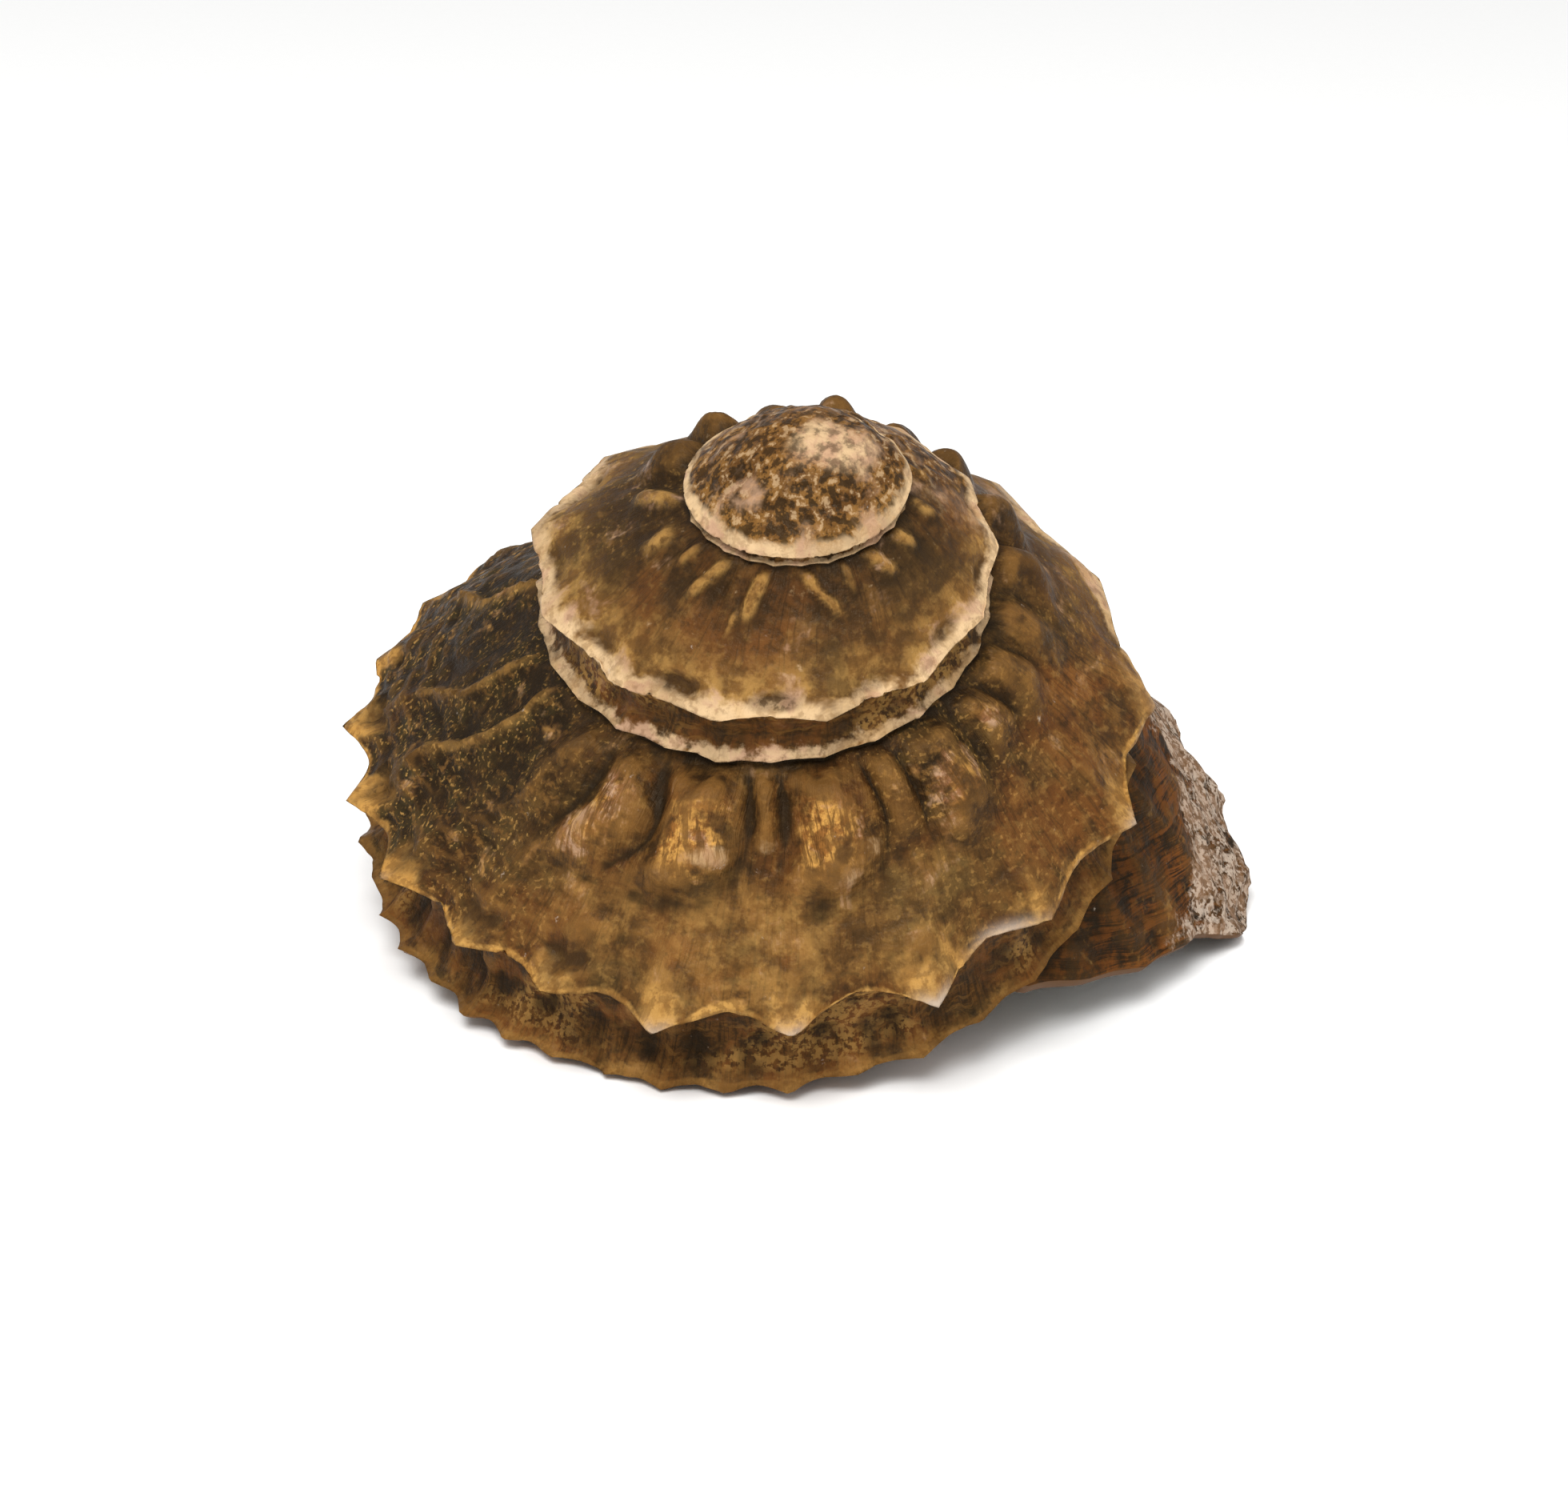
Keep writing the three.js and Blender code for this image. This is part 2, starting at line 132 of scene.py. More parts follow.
SPINES = [  # growth angle and length
    (364, 0.09), (387, 0.1), (409, 0.06), (430, 0.11), (450, 0.12), (468, 0.1), (485, 0.06),
    (500, 0.06), (516, 0.07), (531, 0.08), (545, 0.07),
]
SPINES_GROW = (-160, 0)
EARLY_SPINE = 0.05
EARLY_SPINE_STEP = 28  # degrees from one to the next
LATE_SPINE = 0.032
LATE_SPINE_STEP = 13
DEEP_PITS_FROM = 6  # from this spine on, the pocket behind it is deep
PITS_END = (552, 560)

LIP_EDGE = 1.4  # thickness of the lip, in millimetres
PILLAR = 4.2  # half the pillar's thickness, in millimetres
TUBE_CENTRE = 0.54  # the hollow's middle, half width and half height, in keel radii at its own place
TUBE_WIDTH = 0.345
TUBE_HEIGHT = 0.27
TUBE_LENGTH = 280  # degrees from the mouth back to the blind end
TUBE_BLEND = 60  # the first part takes its shape from the mouth
TUBE_END = 40  # and the last part closes
MOUTH_RINGS = [(-0.5, 0.2), (-0.45, 0.5), (0.1, 0.8), (1.6, 1), (4, 1)]  # degrees back, share of thickness
TUBE_STEP = 4
FIRST_TUBE_RING = 8
MOUTH_ROUND = 60  # millimetres round the mouth

LEAN_FORWARD = 22.8  # how the axis leans as the shell lies at rest
LEAN_SIDE = 0.5

# Places across a whorl: 0 seam, 1 upper keel, 2 lower keel, JOIN next seam, FOOT pillar.
JOIN = 2.2
FOOT = 3.2

AIM = Vector((-0.0014, -0.0021, 0.0133))
LIGHTS = [  # name, size and place in metres
    ("key", 0.3, (-0.08, -0.34, 0.5)), ("fill", 0.5, (0.5, -0.1, 0.4)),
]


def set_of(start, *parts):
    """Places across a whorl: each part is an end and the number of steps up to it."""
    places = [start]
    for end, steps in parts:
        places += list(np.linspace(places[-1], end, steps + 1)[1:])
    return places


ACROSS = set_of(0, (0.06, 3), (0.9, 30), (0.97, 4), (1, 3), (1.04, 3), (1.9, 12), (2, 3), (JOIN, 4))
COLUMNS = np.array(ACROSS + set_of(JOIN, (2.3, 3), (2.9, 23), (FOOT, 7))[1:])
JOIN_COLUMN = len(ACROSS) - 1
FOOTPRINT = np.array([0, 0.08, 0.2, 0.33, 0.46, 0.6, 0.8, 1, 1.3, 1.65, 2, JOIN,
                      2.33, 2.5, 2.7, 2.85, 3, FOOT])


def number(name, description, default, **limits):
    return FloatProperty(name=name, description=description, default=default, **limits)


def colour(name, description, *value):
    return FloatVectorProperty(name=name, description=description, default=value, size=3,
                               min=0, max=1, subtype="COLOR")


class TurbanSizes(bpy.types.PropertyGroup):
    """Sizes of the shell that a user may change."""

    keel_radius: number("Keel radius", "From the axis to the upper keel at the front", 0.0235,
                        min=0.005, unit="LENGTH")
    growth: number("Growth", "How many times wider each turn is than the one before", 1.85,
                   min=1.2, max=3)
    spire: number("Spire", "Height of the spire for each unit of keel radius", 1.2, min=0.3, max=3)
    spines: number("Spines", "Length of the spines against a common shell", 1,
                   min=0, max=2, subtype="FACTOR")
    folds: number("Folds", "Height of the folds under the seam, in shoulder widths", 0.1,
                  min=0, max=0.3, subtype="FACTOR")
    roughness: number("Lumps", "Strength of the small lumps, chips and cords", 1,
                      min=0, max=2, subtype="FACTOR")
    rest_depth: number("Worn flats", "Depth of the flats where the base touches the table", 0.00045,
                       min=0, unit="LENGTH")


class TurbanColours(bpy.types.PropertyGroup):
    """Colours of the shell, from the dark hollows to the pearl inside."""

    # Umber is also the painted shade in the creases and near the seam, and the dirt and painted shade in
    # the hollows.
    umber: colour("Umber", "Dirt and painted shade in the hollows", 0.014, 0.008, 0.0035)
    dark: colour("Dark brown", "Walls between the keels", 0.045, 0.022, 0.008)
    brown: colour("Brown", "Most of the shoulders", 0.1, 0.042, 0.01)
    tan: colour("Tan", "Rubbed parts of the shoulders", 0.205, 0.096, 0.023)
    olive: colour("Olive", "Algae on the left and in the folds", 0.034, 0.024, 0.008)
    gold: colour("Gold", "Stains and painted highlights on the folds", 0.55, 0.28, 0.065)
    rust: colour("Rust", "Orange stains by the lip", 0.17, 0.055, 0.011)
    ochre: colour("Ochre", "Spines and the lower keel", 0.4, 0.22, 0.06)
    cream: colour("Cream", "Worn keels of the early whorls", 0.58, 0.4, 0.22)
    rose: colour("Rose", "The worn tip", 0.46, 0.28, 0.17)
    chalk: colour("Chalk", "Crust by the lip", 0.47, 0.38, 0.3)
    pearl: colour("Pearl", "The hollow inside the mouth", 0.78, 0.76, 0.72)
    sheen_green: colour("Green sheen", "Clouds on the pearl", 0.62, 0.74, 0.68)
    sheen_rose: colour("Rose sheen", "Clouds on the pearl", 0.8, 0.62, 0.62)
    sheen_blue: colour("Blue sheen", "Bands on the pearl", 0.55, 0.6, 0.66)


class TurbanStage(bpy.types.PropertyGroup):
    """Table, light and camera."""

    table: colour("Table", "Colour of the table", 0.97, 0.97, 0.962)
    table_width: number("Table width", "Side of the square table", 6, min=1, unit="LENGTH")
    key: number("Key light", "Power of the large light above", 4.0, min=0, unit="POWER")
    fill: number("Fill light", "Power of the light at the right", 0.8, min=0, unit="POWER")
    sky: number("Sky", "Strength of the light from all round", 0.5, min=0)
    distance: number("Distance", "From the camera to the shell", 0.2716, min=0.05, unit="LENGTH")
    elevation: number("Elevation", "Camera above the table's plane", math.radians(24.07), subtype="ANGLE")
    azimuth: number("Azimuth", "Camera round from the front", math.radians(0.48), subtype="ANGLE")
    roll: number("Roll", "Turn of the camera about its own line of sight", math.radians(1.61),
                 subtype="ANGLE")
    lens: number("Lens", "Focal length of the lens in millimetres", 97.79, min=10)


# ---------------------------------------------------------------- shape of the coil

def ease(x, low, high):
    """0 below low, 1 above high, and a smooth rise between."""
    u = np.clip((x - low) / (high - low), 0, 1)
    return u * u * (3 - 2 * u)


def within(x, start, full, fading, gone):
    """1 from full to fading, and easing to 0 at start and gone."""
    return ease(x, start, full) * (1 - ease(x, fading, gone))


def mix(a, b, share):
    return a + (b - a) * share


def bump_at(x, at, span):
    return np.exp(-(((x - at) / span) ** 2))


def cloud(points, size, seed):
    """Smooth lumps between -1 and 1, each about `size` across."""
    lattice = np.random.default_rng(seed).uniform(-1, 1, (32, 32, 32))
    at = np.asarray(points, float) / size
    low = np.floor(at).astype(int)
    part = at - low
    part = part * part * (3 - 2 * part)
    total = 0
    for corner in itertools.product((0, 1), repeat=3):
        weight = np.prod(np.where(corner, part, 1 - part), axis=-1)
        i, j, k = np.moveaxis((low + corner) % 32, -1, 0)
        total = total + weight * lattice[i, j, k]
    return total


def ripple(x, size, seed):
    """Smooth lumps along one number."""
    x = np.asarray(x, float)
    return cloud(np.stack([x, 0 * x + 0.37 * size, 0 * x + 0.61 * size], -1), size, seed)


def spots(t, c, places):
    """Round spots summed up: growth angle, place across, spans of both and strength of each."""
    return sum(strength * bump_at(t, at, span) * bump_at(c, across, wide)
               for at, across, span, wide, strength in places)


def pick(number, seed):
    """A fixed random value from 0 to 1 for each whole number."""
    table = np.random.default_rng(seed).random(257)
    return table[np.asarray(number, int) % 257]


class Coil:
    """The growing whorl: its outline at each growth angle, in millimetres round the axis."""

    def __init__(self, sizes):
        self.keel = sizes.keel_radius / MM
        self.growth = sizes.growth
        self.spire = sizes.spire
        self.spine_share = sizes.spines
        self.fold_share = sizes.folds

    def keel_radius(self, t):
        late = np.maximum(t - SLOW_FROM, 0)
        grown = np.minimum(t, SLOW_FROM) + SLOW_SHARE * SLOW_TAIL * (1 - np.exp(-late / SLOW_TAIL))
        flare = 1 + LIP_FLARE * ease(t, *LIP_FLARES)
        for at, span, out, _ in SWELLS:
            flare = flare + out * bump_at(t, at, span)
        return self.keel * self.growth ** ((grown - KEEL_AT) / TURN) * flare

    def keel_height(self, t):
        height = -self.spire * self.growth ** (SPIRE_CURVE * (t - KEEL_AT) / TURN)
        for at, span, _, up in SWELLS:
            height = height + up * bump_at(t, at, span)
        return self.keel * height

    def spine_count(self, t):
        at = [angle for angle, _ in SPINES]
        inner = np.interp(t, at, range(len(at)))
        early = np.minimum(t - at[0], 0) / EARLY_SPINE_STEP
        return inner + early + np.maximum(t - at[-1], 0) / LATE_SPINE_STEP

    def spine_length(self, t):
        count = self.spine_count(t)
        number = np.round(count).astype(int)
        lengths = np.array([length for _, length in SPINES] + [LATE_SPINE])
        longest = np.where(number < 0, EARLY_SPINE, lengths[np.clip(number, 0, len(SPINES))])
        longest = longest * (0.8 + 0.4 * pick(number, 3)) * ease(t, *SPINES_GROW)
        return self.spine_share * longest * (1 - 2 * np.abs(count - number)) ** 1.5

    def low_keel(self, t, scales=1.0):
        count = 2 * self.spine_count(t)
        number = np.round(count)
        near = 1 - 2 * np.abs(count - number)
        scale = SCALE_LENGTH * (0.5 + pick(number, 4)) * near ** 1.5 * scales
        tuck = ease(t, *LOW_KEEL_TUCKED)
        early = 1 - ease(t, *EARLY_KEEL_UNTIL)
        r = self.keel_radius(t)
        out = LOW_KEEL_OUT - LOW_KEEL_TUCK * tuck - EARLY_KEEL_TUCK * early + scale
        drop = LOW_KEEL_DROP + LOW_KEEL_SAG * bump_at(t, *LOW_KEEL_SAGS) - LOW_KEEL_RAISED * tuck
        return out * r, self.keel_height(t) - (drop - EARLY_KEEL_RAISED * early) * r

    def seam_below(self, t, scales=1.0):
        r, z = self.low_keel(t, scales)
        bead = BEAD * self.keel_radius(t)
        return r - bead, z - bead

    def fingers(self, t, u):
        """Height of the short narrow ridges on the early whorls."""
        height = 0
        for at, lean, half, top, end, tall in FINGERS:
            across = (t - at - lean * u - 1.5 * ripple(11 * u, 1, at + 90)) / (half * (1.05 - 0.7 * u))
            reach = within(u, top - 0.05, top + 0.06, end - 0.1, end + 0.08)
            height = height + tall * np.exp(-across ** 2) * reach
        return height

    def folds(self, t, u):
        """Height of the broad folds under the seam of the last whorl, with creases between."""
        at = t + 3.5 * np.sin(5 * u) + 4 * ripple(t / 13 + 3.1 * u, 1, 11) * ease(u, 0.05, 0.3)
        count = np.interp(at, [fold[0] for fold in FOLDS], range(len(FOLDS)))
        number = np.clip(np.floor(count).astype(int), 0, len(FOLDS) - 1)
        tall = np.array([fold[1] for fold in FOLDS])[number]
        end = np.array([fold[2] for fold in FOLDS])[number]
        broad = ease(t, *BROAD_FOLDS)
        back = np.abs(np.sin(np.pi * count)) ** mix(1.0, 1.15, broad)
        return back * tall * within(u, 0.015, 0.14, end - 0.18 + 0.1 * broad, end + 0.14)

    def old_lips(self, t, u):
        """Thin ridges where the lip once stood, on the last half whorl."""
        height = 0
        for at, tall in OLD_LIPS:
            place = t - at - 7 * ease(u, 0.35, 0.7) - 0.7 * ripple(9 * u, 1, at)
            height = height + tall * np.exp(-np.maximum(place, 0) / 1.2 + np.minimum(place, 0) / 2.6)
        return height * within(u, 0.02, 0.12, 0.55, 0.85)

    def outline(self, t, c):
        """Distance from the axis and height, at growth angles t and places across c."""
        r, z = self.keel_radius(t), self.keel_height(t)
        spine = self.spine_length(t)

        u = np.clip(c, 0, 1)
        seam_r, seam_z = self.seam_below(t - TURN)
        run, drop = r - seam_r, z - seam_z
        raised = SHOULDER_SWELL * np.sin(np.pi * u) + self.fold_share * (
            self.folds(t, u) + 0.5 * self.fingers(t, u))
        flare = spine * r * ease(u, 0.45, 1) ** 1.6
        shoulder = (seam_r + run * u - drop * raised + flare,
                    seam_z + drop * u + run * raised - 0.12 * flare)

        w = np.clip(c - 1, 0, 1)
        low_r, low_z = self.low_keel(t)
        hollow = WALL_HOLLOW * np.sin(np.pi * w) ** 0.65 * (1 - 0.7 * ease(t, *WALL_FLATTENS))
        hollow = hollow + spine * (1 - (1 - w) ** 3) * (1 - w)
        wall = (mix((1 + spine) * r, low_r, w) - hollow * r, mix(z - 0.12 * spine * r, low_z, w))

        under = np.clip((c - 2) / (JOIN - 2), 0, 1)
        join_r, join_z = self.seam_below(t)
        edge = (mix(low_r, join_r, under), mix(low_z, join_z, under))

        b = np.clip(c - JOIN, 0, 1)
        base_r, base_z = self.seam_below(t, (1 - b) ** 6)
        base_r = base_r * (1 - b)
        swell = BASE_SWELL * np.sin(np.pi * np.minimum(b / 0.8, 1)) ** 0.8
        base_z = base_z - (swell - 0.05 * ease(b, 0.5, 1)) * r
        foot = 1 - ease(base_r / self.keel, *FOOT_WIDTHS)
        base = (base_r, mix(base_z, -FOOT_DEPTH * self.keel, foot))

        zones = [c <= 1, c <= 2, c <= JOIN]
        return tuple(np.select(zones, [shoulder[k], wall[k], edge[k]], base[k]) for k in (0, 1))

    def place(self, t, c):
        r, z = self.outline(t, c)
        return turned(t, r, z)


def turned(t, r, z):
    """A place at a growth angle: the coil winds clockwise as seen from its tip."""
    angle = np.radians(t)
    return np.stack(np.broadcast_arrays(r * np.cos(angle), -r * np.sin(angle), z), -1)


def lip_angle(c):
    """The growth angle at which the swept-back lip crosses each place across the whorl."""
    k = LIP_AT_KEEL
    return np.interp(c, [0, 0.3, 0.6, 1, 2, JOIN, 2.7, FOOT],
                     [LIP, k + 30, k + 12, k, k - 25, k - 32, k - 75, LIP_AT_FOOT])


def growth_at(row, c):
    """Rows of the last turn lean over, step by step, until the last one lies along the lip."""
    leaning = ease(row, LIP - LEAN_ROWS, LIP)
    inward = (LIP - LIP_AT_FOOT) * ease(c, JOIN, FOOT)
    return row - (LIP - lip_angle(c)) * leaning - inward * (1 - leaning)


def normals_of(grid):
    """Outward directions of a grid of places, from the places beside each one."""
    along = np.gradient(grid, axis=0)
    across = np.gradient(grid, axis=1)
    out = np.cross(along, across)
    return out / np.maximum(np.linalg.norm(out, axis=-1, keepdims=True), 1e-9)


# ---------------------------------------------------------------- small relief

def crust_at(row, c):
    """Where the chalky crust grows: the outer part of the shoulder near the lip."""
    line = 0.46 + 0.06 * ripple(row, 9, 21) + 0.04 * ripple(row, 3, 22)
    return ease(row, 655, 700) * within(c, line - 0.05, line + 0.13, 1.05, 1.25)


def pits_at(coil, t, c):
    """Worn pockets behind the spines, deepest at the left front and on the early whorls."""
    count = coil.spine_count(t)
    count = count + 0.5 * (count < 0)
    number = np.round(count)
    along = (count - number) / 0.24
    across = (c - 0.86 - 0.05 * pick(number, 7)) / 0.065
    deep = np.where(number >= DEEP_PITS_FROM, 1.0, np.where(number < 0, 0.8, 0.12))
    deep = deep * within(t, -60, 0, *PITS_END) * (0.4 + 0.8 * pick(number, 8))
    return deep * np.exp(-(along ** 2 + across ** 2) ** 1.5) * (c <= 1)


def shoulder_relief(coil, row, t, c, places, size):
    """Granules of the tip, old lips, knobs, streaks on the folds, beaded cords and pockets."""
    granules = ease(-t, -40, 120) * (0.12 * cloud(places, 0.75, 34) + 0.1 * cloud(places, 1.3, 35))
    ridges = 0.4 * (coil.old_lips(t, c) + spots(t, c, KNOBS))
    slanted = ripple(0.4 * t + 5 * c, 0.85, 54) + 0.8 * cloud(places, 1.3, 55)
    streaks = 0.2 * slanted * coil.folds(t, c) * ease(t, *BROAD_FOLDS)
    beads = 0.6 + 0.4 * ripple(row, 1.9, 42) + 0.5 * ripple(row + 40 * c, 4.5, 43)
    cords = np.cos(2 * np.pi * (11 * c + 0.2 * ripple(row, 12, 41))) * beads
    cords = (0.05 + 0.07 * ease(t, 470, 510)) * ease(c, 0.42, 0.6) * ease(t, 380, 480) * cords
    inner = within(c, 0, 0.05, 0.93, 1) * (c <= 1)
    return inner * (granules + size * (ridges + streaks + cords)) - 1.15 * size * pits_at(coil, t, c)


def wall_relief(row, c):
    """A lumpy cord along the middle of the wall between the keels."""
    cord = bump_at(c, 1.52, 0.1) * (0.5 + 0.7 * np.abs(ripple(row, 2.6, 46)))
    return within(c, 1.02, 1.15, 1.85, 1.98) * (0.34 * cord + 0.14 * ripple(row + 6 * c, 2.3, 47))


def base_relief(row, b):
    """Rows of scales round the base, each set between those of the row before."""
    number = 8.2 * b + 0.1
    cords = 0.5 + 0.5 * np.cos(2 * np.pi * number)
    scales = 0.55 + 0.45 * np.cos(2 * np.pi * (row / 5.4 + 0.5 * np.round(number)))
    return 0.55 * within(b, *BASE_WORKED) * cords ** 1.5 * scales


def chips(coil, row, t, c):
    """Chips off both keels, deepest on the early whorls and shallow on the spines."""
    upper = np.maximum(ripple(row, 2.3, 50) + 0.6 * ripple(row, 1.2, 51) - 0.15, 0)
    upper = upper * bump_at(c, 1, 0.03) * (1 - 5 * coil.spine_length(t))
    lower = np.maximum(ripple(row, 1.9, 52), 0) * bump_at(c, 2, 0.06)
    return (0.42 + 0.3 * (1 - ease(t, *EARLY))) * upper + 0.3 * lower


def relief(coil, row, t, c, places):
    """Height in millimetres of the lumps, cords, pits and chips above the plain coil."""
    size = coil.keel_radius(t) / coil.keel
    free = np.where(c > JOIN, within(c - JOIN, *BASE_WORKED), 1 - ease(c, 2.1, JOIN)) * ease(c, 0, 0.04)
    lumps = 0.2 * cloud(places, 4.1, 31) + 0.13 * cloud(places, 1.9, 32) + 0.07 * cloud(places, 0.95, 33)
    steps = 0.07 * (ripple(row, 3.1, 44) + 0.6 * ripple(row, 1.7, 45))
    crust = 0.09 * cloud(places, 0.7, 48) + 0.16 * cloud(places, 1.4, 49)
    return (free * (np.minimum(size, 1) * lumps + size * steps)
            + shoulder_relief(coil, row, t, c, places, size)
            + size * (wall_relief(row, c) - chips(coil, row, t, c))
            + base_relief(row, c - JOIN) + crust_at(row, c) * crust)


# ---------------------------------------------------------------- marks for the finish

MARKS = [
    "keel", "low_keel", "tongue", "spine_tip", "fold", "finger", "gold", "wall", "shade", "olive",
    "crust", "late", "early", "patch", "worn", "low_half", "pit", "bright", "depth",
]
SMOOTHINGS = {"hollow_fine": 6, "hollow_wide": 70}  # rounds of smoothing that find the hollows
# Golden patches on the folds: stains, and partly a painted highlight, strongest on the fold crests.
GOLD_STAINS_AND_HIGHLIGHTS = [  # growth angle, place across, spans of both, strength
    (446, 0.33, 7, 0.17, 1.0), (472, 0.32, 8, 0.17, 1.0), (493, 0.34, 6, 0.18, 0.8),
    (413, 0.36, 6, 0.2, 0.6), (400, 0.18, 5, 0.1, 0.5), (430, 0.5, 4, 0.07, 0.4),
    (460, 0.52, 5, 0.06, 0.5), (510, 0.2, 5, 0.1, 0.4), (560, 0.3, 5, 0.1, 0.3), (192, 0.25, 9, 0.1, 0.6),
]


def olive_at(t, c):
    """Algae: left and right front of the last whorl, and round the back of the one above."""
    left = within(t, 472, 520, 610, 650)
    right = bump_at(t, 412, 32) * (1 - 0.6 * ease(c, 0.3, 0.6))
    return np.maximum.reduce([left, right, 0.7 * within(t, 150, 190, 340, 380)]) * (c <= 1)


def shade_at(t, c, fold, finger, lips):
    """Painted shade in the creases between the early ridges, the folds and the old lips, over the upper
    parts of the folds, and near the seam of the last part under the keel above; also the dark line of the
    seam itself.
    """
    folded = within(t, 350, 400, 500, 516)
    return np.maximum.reduce([
        1 - ease(c, 0.02, 0.09),
        ease(t, *LATE) * (1 - ease(c, 0.12, 0.42)),
        0.75 * (1 - ease(t, *EARLY)) * (1 - finger) * (1 - ease(c, 0.25, 0.5)),
        0.8 * folded * within(c, 0.03, 0.1, 0.26, 0.46) * (1 - ease(fold, 0.08, 0.42)),
        0.5 * folded * (1 - ease(c + 0.04 * ripple(t, 7, 71), 0.07, 0.2)),
        0.9 * within(t, 505, 520, 575, 600) * (1 - ease(c, 0.45, 0.75)) * (1 - lips),
    ]) * (c <= 1)


def marks_at(coil, row, t, c):
    """What each place carries for its finish: how much of each mark it shows, from 0 to 1."""
    on_shoulder, u = c <= 1, np.clip(c, 0, 1)
    early, late = 1 - ease(t, *EARLY), ease(t, *LATE)
    spine = coil.spine_length(t)
    keel_width = np.where(on_shoulder, 0.03 + 0.11 * early + 0.08 * (1 - ease(t, -60, 10)), 0.05)
    tongue = np.where(on_shoulder, ease(c, 0.72, 0.95), 1 - ease(c, 1, 1.3))
    tip = 2.6 * np.clip(10 * spine - 0.62, 0, 1) * bump_at(c, 1, 0.035)
    fold = np.clip(1.05 * coil.folds(t, u), 0, 1) * on_shoulder
    finger = np.clip(1.6 * coil.fingers(t, u) - 0.3, 0, 1) * on_shoulder
    lips = np.clip(coil.old_lips(t, u), 0, 1) * on_shoulder
    front = 0.5 * bump_at(t, 452, 36) * within(c, 0.42, 0.65, 0.86, 0.97)
    return {
        "keel": bump_at(c, 1, keel_width),
        "low_keel": bump_at(c, 2, mix(0.1, 0.17, early)),
        "tongue": np.clip(spine / (0.07 - 0.03 * ease(t, 470, 490)), 0, 1) * tongue,
        # Chalk-white spine tips, and a painted sheen streak on the front keel near 416 degrees.
        "spine_tip": np.clip(tip + 0.8 * bump_at(t, 416, 5) * bump_at(c, 0.99, 0.035), 0, 1),
        "fold": fold,
        "finger": np.maximum(finger, 0.6 * (1.6 * lips - 0.9) * (1 - 0.8 * late)),
        # Gold: stains, partly a painted highlight on the fold crests.
        "gold": np.clip(1.25 * spots(t, c, GOLD_STAINS_AND_HIGHLIGHTS) * (0.15 + 0.85 * fold), 0, 1),
        "wall": within(c, 1.03, 1.14, 1.86, 1.97),
        # Painted shade in the creases and near the seam, with the seam's own dark line.
        "shade": shade_at(t, c, fold, finger, lips),
        "olive": olive_at(t, c),
        "crust": crust_at(row, c),
        "late": late * (c < JOIN),
        "early": 1 - ease(t, -40, 20),
        "worn": early,
        "low_half": np.maximum(early * ease(c, 0.5, 0.92), front) * on_shoulder,
        "pit": np.clip(2.2 * pits_at(coil, t, c) - 0.25, 0, 1) * on_shoulder,
        # Painted highlight on the knobs.
        "bright": np.clip(spots(t, u, KNOBS), 0, 1) * on_shoulder,
    }


def pale_patch(places):
    """The patch on the tip, to the right and front of the axis, where the skin is worn away."""
    x, y = ((places[..., k] - PATCH_AT[k]) / PATCH_SIZE[k] for k in (0, 1))
    return np.exp(-(x * x + y * y) ** 1.5) * (places[..., 2] > PATCH_ABOVE)


def grain_of(coil, row, c):
    """Millimetres along and across the whorl, for marks that follow its growth."""
    size = coil.keel_radius(row)
    along = np.radians(row) * size
    wide = np.interp(c, [0, 1, 2, JOIN, FOOT], [0, 0.55, 0.83, 0.89, 1.9])
    return along, wide * size


# ---------------------------------------------------------------- one closed skin

class Skin:
    """Places and faces of one closed surface, and the values that each corner carries."""

    def __init__(self):
        self.places = []
        self.count = 0
        self.faces = []
        self.values = []

    def add(self, places):
        places = np.asarray(places, float).reshape(-1, 3)
        self.places.append(places)
        self.count += len(places)
        return np.arange(self.count - len(places), self.count)

    def sheet(self, grid, values):
        """Faces between the rows of a grid of vertex numbers; values has one row per number."""
        quads = np.stack([grid[:-1, :-1], grid[1:, :-1], grid[1:, 1:], grid[:-1, 1:]], -1).reshape(-1, 4)
        each = np.stack([values[:-1, :-1], values[1:, :-1], values[1:, 1:], values[:-1, 1:]], 2)
        each = each.reshape(-1, 4, values.shape[-1])
        for quad, corner in zip(quads.tolist(), each):
            kept = [k for k in range(4) if quad[k] != quad[k - 1]]
            if len(kept) > 2:
                self.faces.append([quad[k] for k in kept])
                self.values.append(corner[kept])

    def all_places(self):
        return np.concatenate(self.places)


def packed(coil, row, c, marks):
    """The marks, in the order of MARKS, and the grain as one array; marks left out are 0."""
    values = [marks.get(name, 0) for name in MARKS]
    return np.stack(np.broadcast_arrays(*values, *grain_of(coil, row, c)), -1)


def level_with_tip(coil, grid, t, c):
    """Where each row would lie if it followed the low dome of the worn tip."""
    reach = np.hypot(grid[..., 0], grid[..., 1])
    outer = reach[:, JOIN_COLUMN, None]
    r = mix(reach[:, :1], outer, np.minimum(c / JOIN, 1))
    top = -APEX_DEPTH * coil.keel
    return turned(t, r, top + (grid[:, JOIN_COLUMN, 2, None] - top) * (r / outer) ** TIP_CURVE)


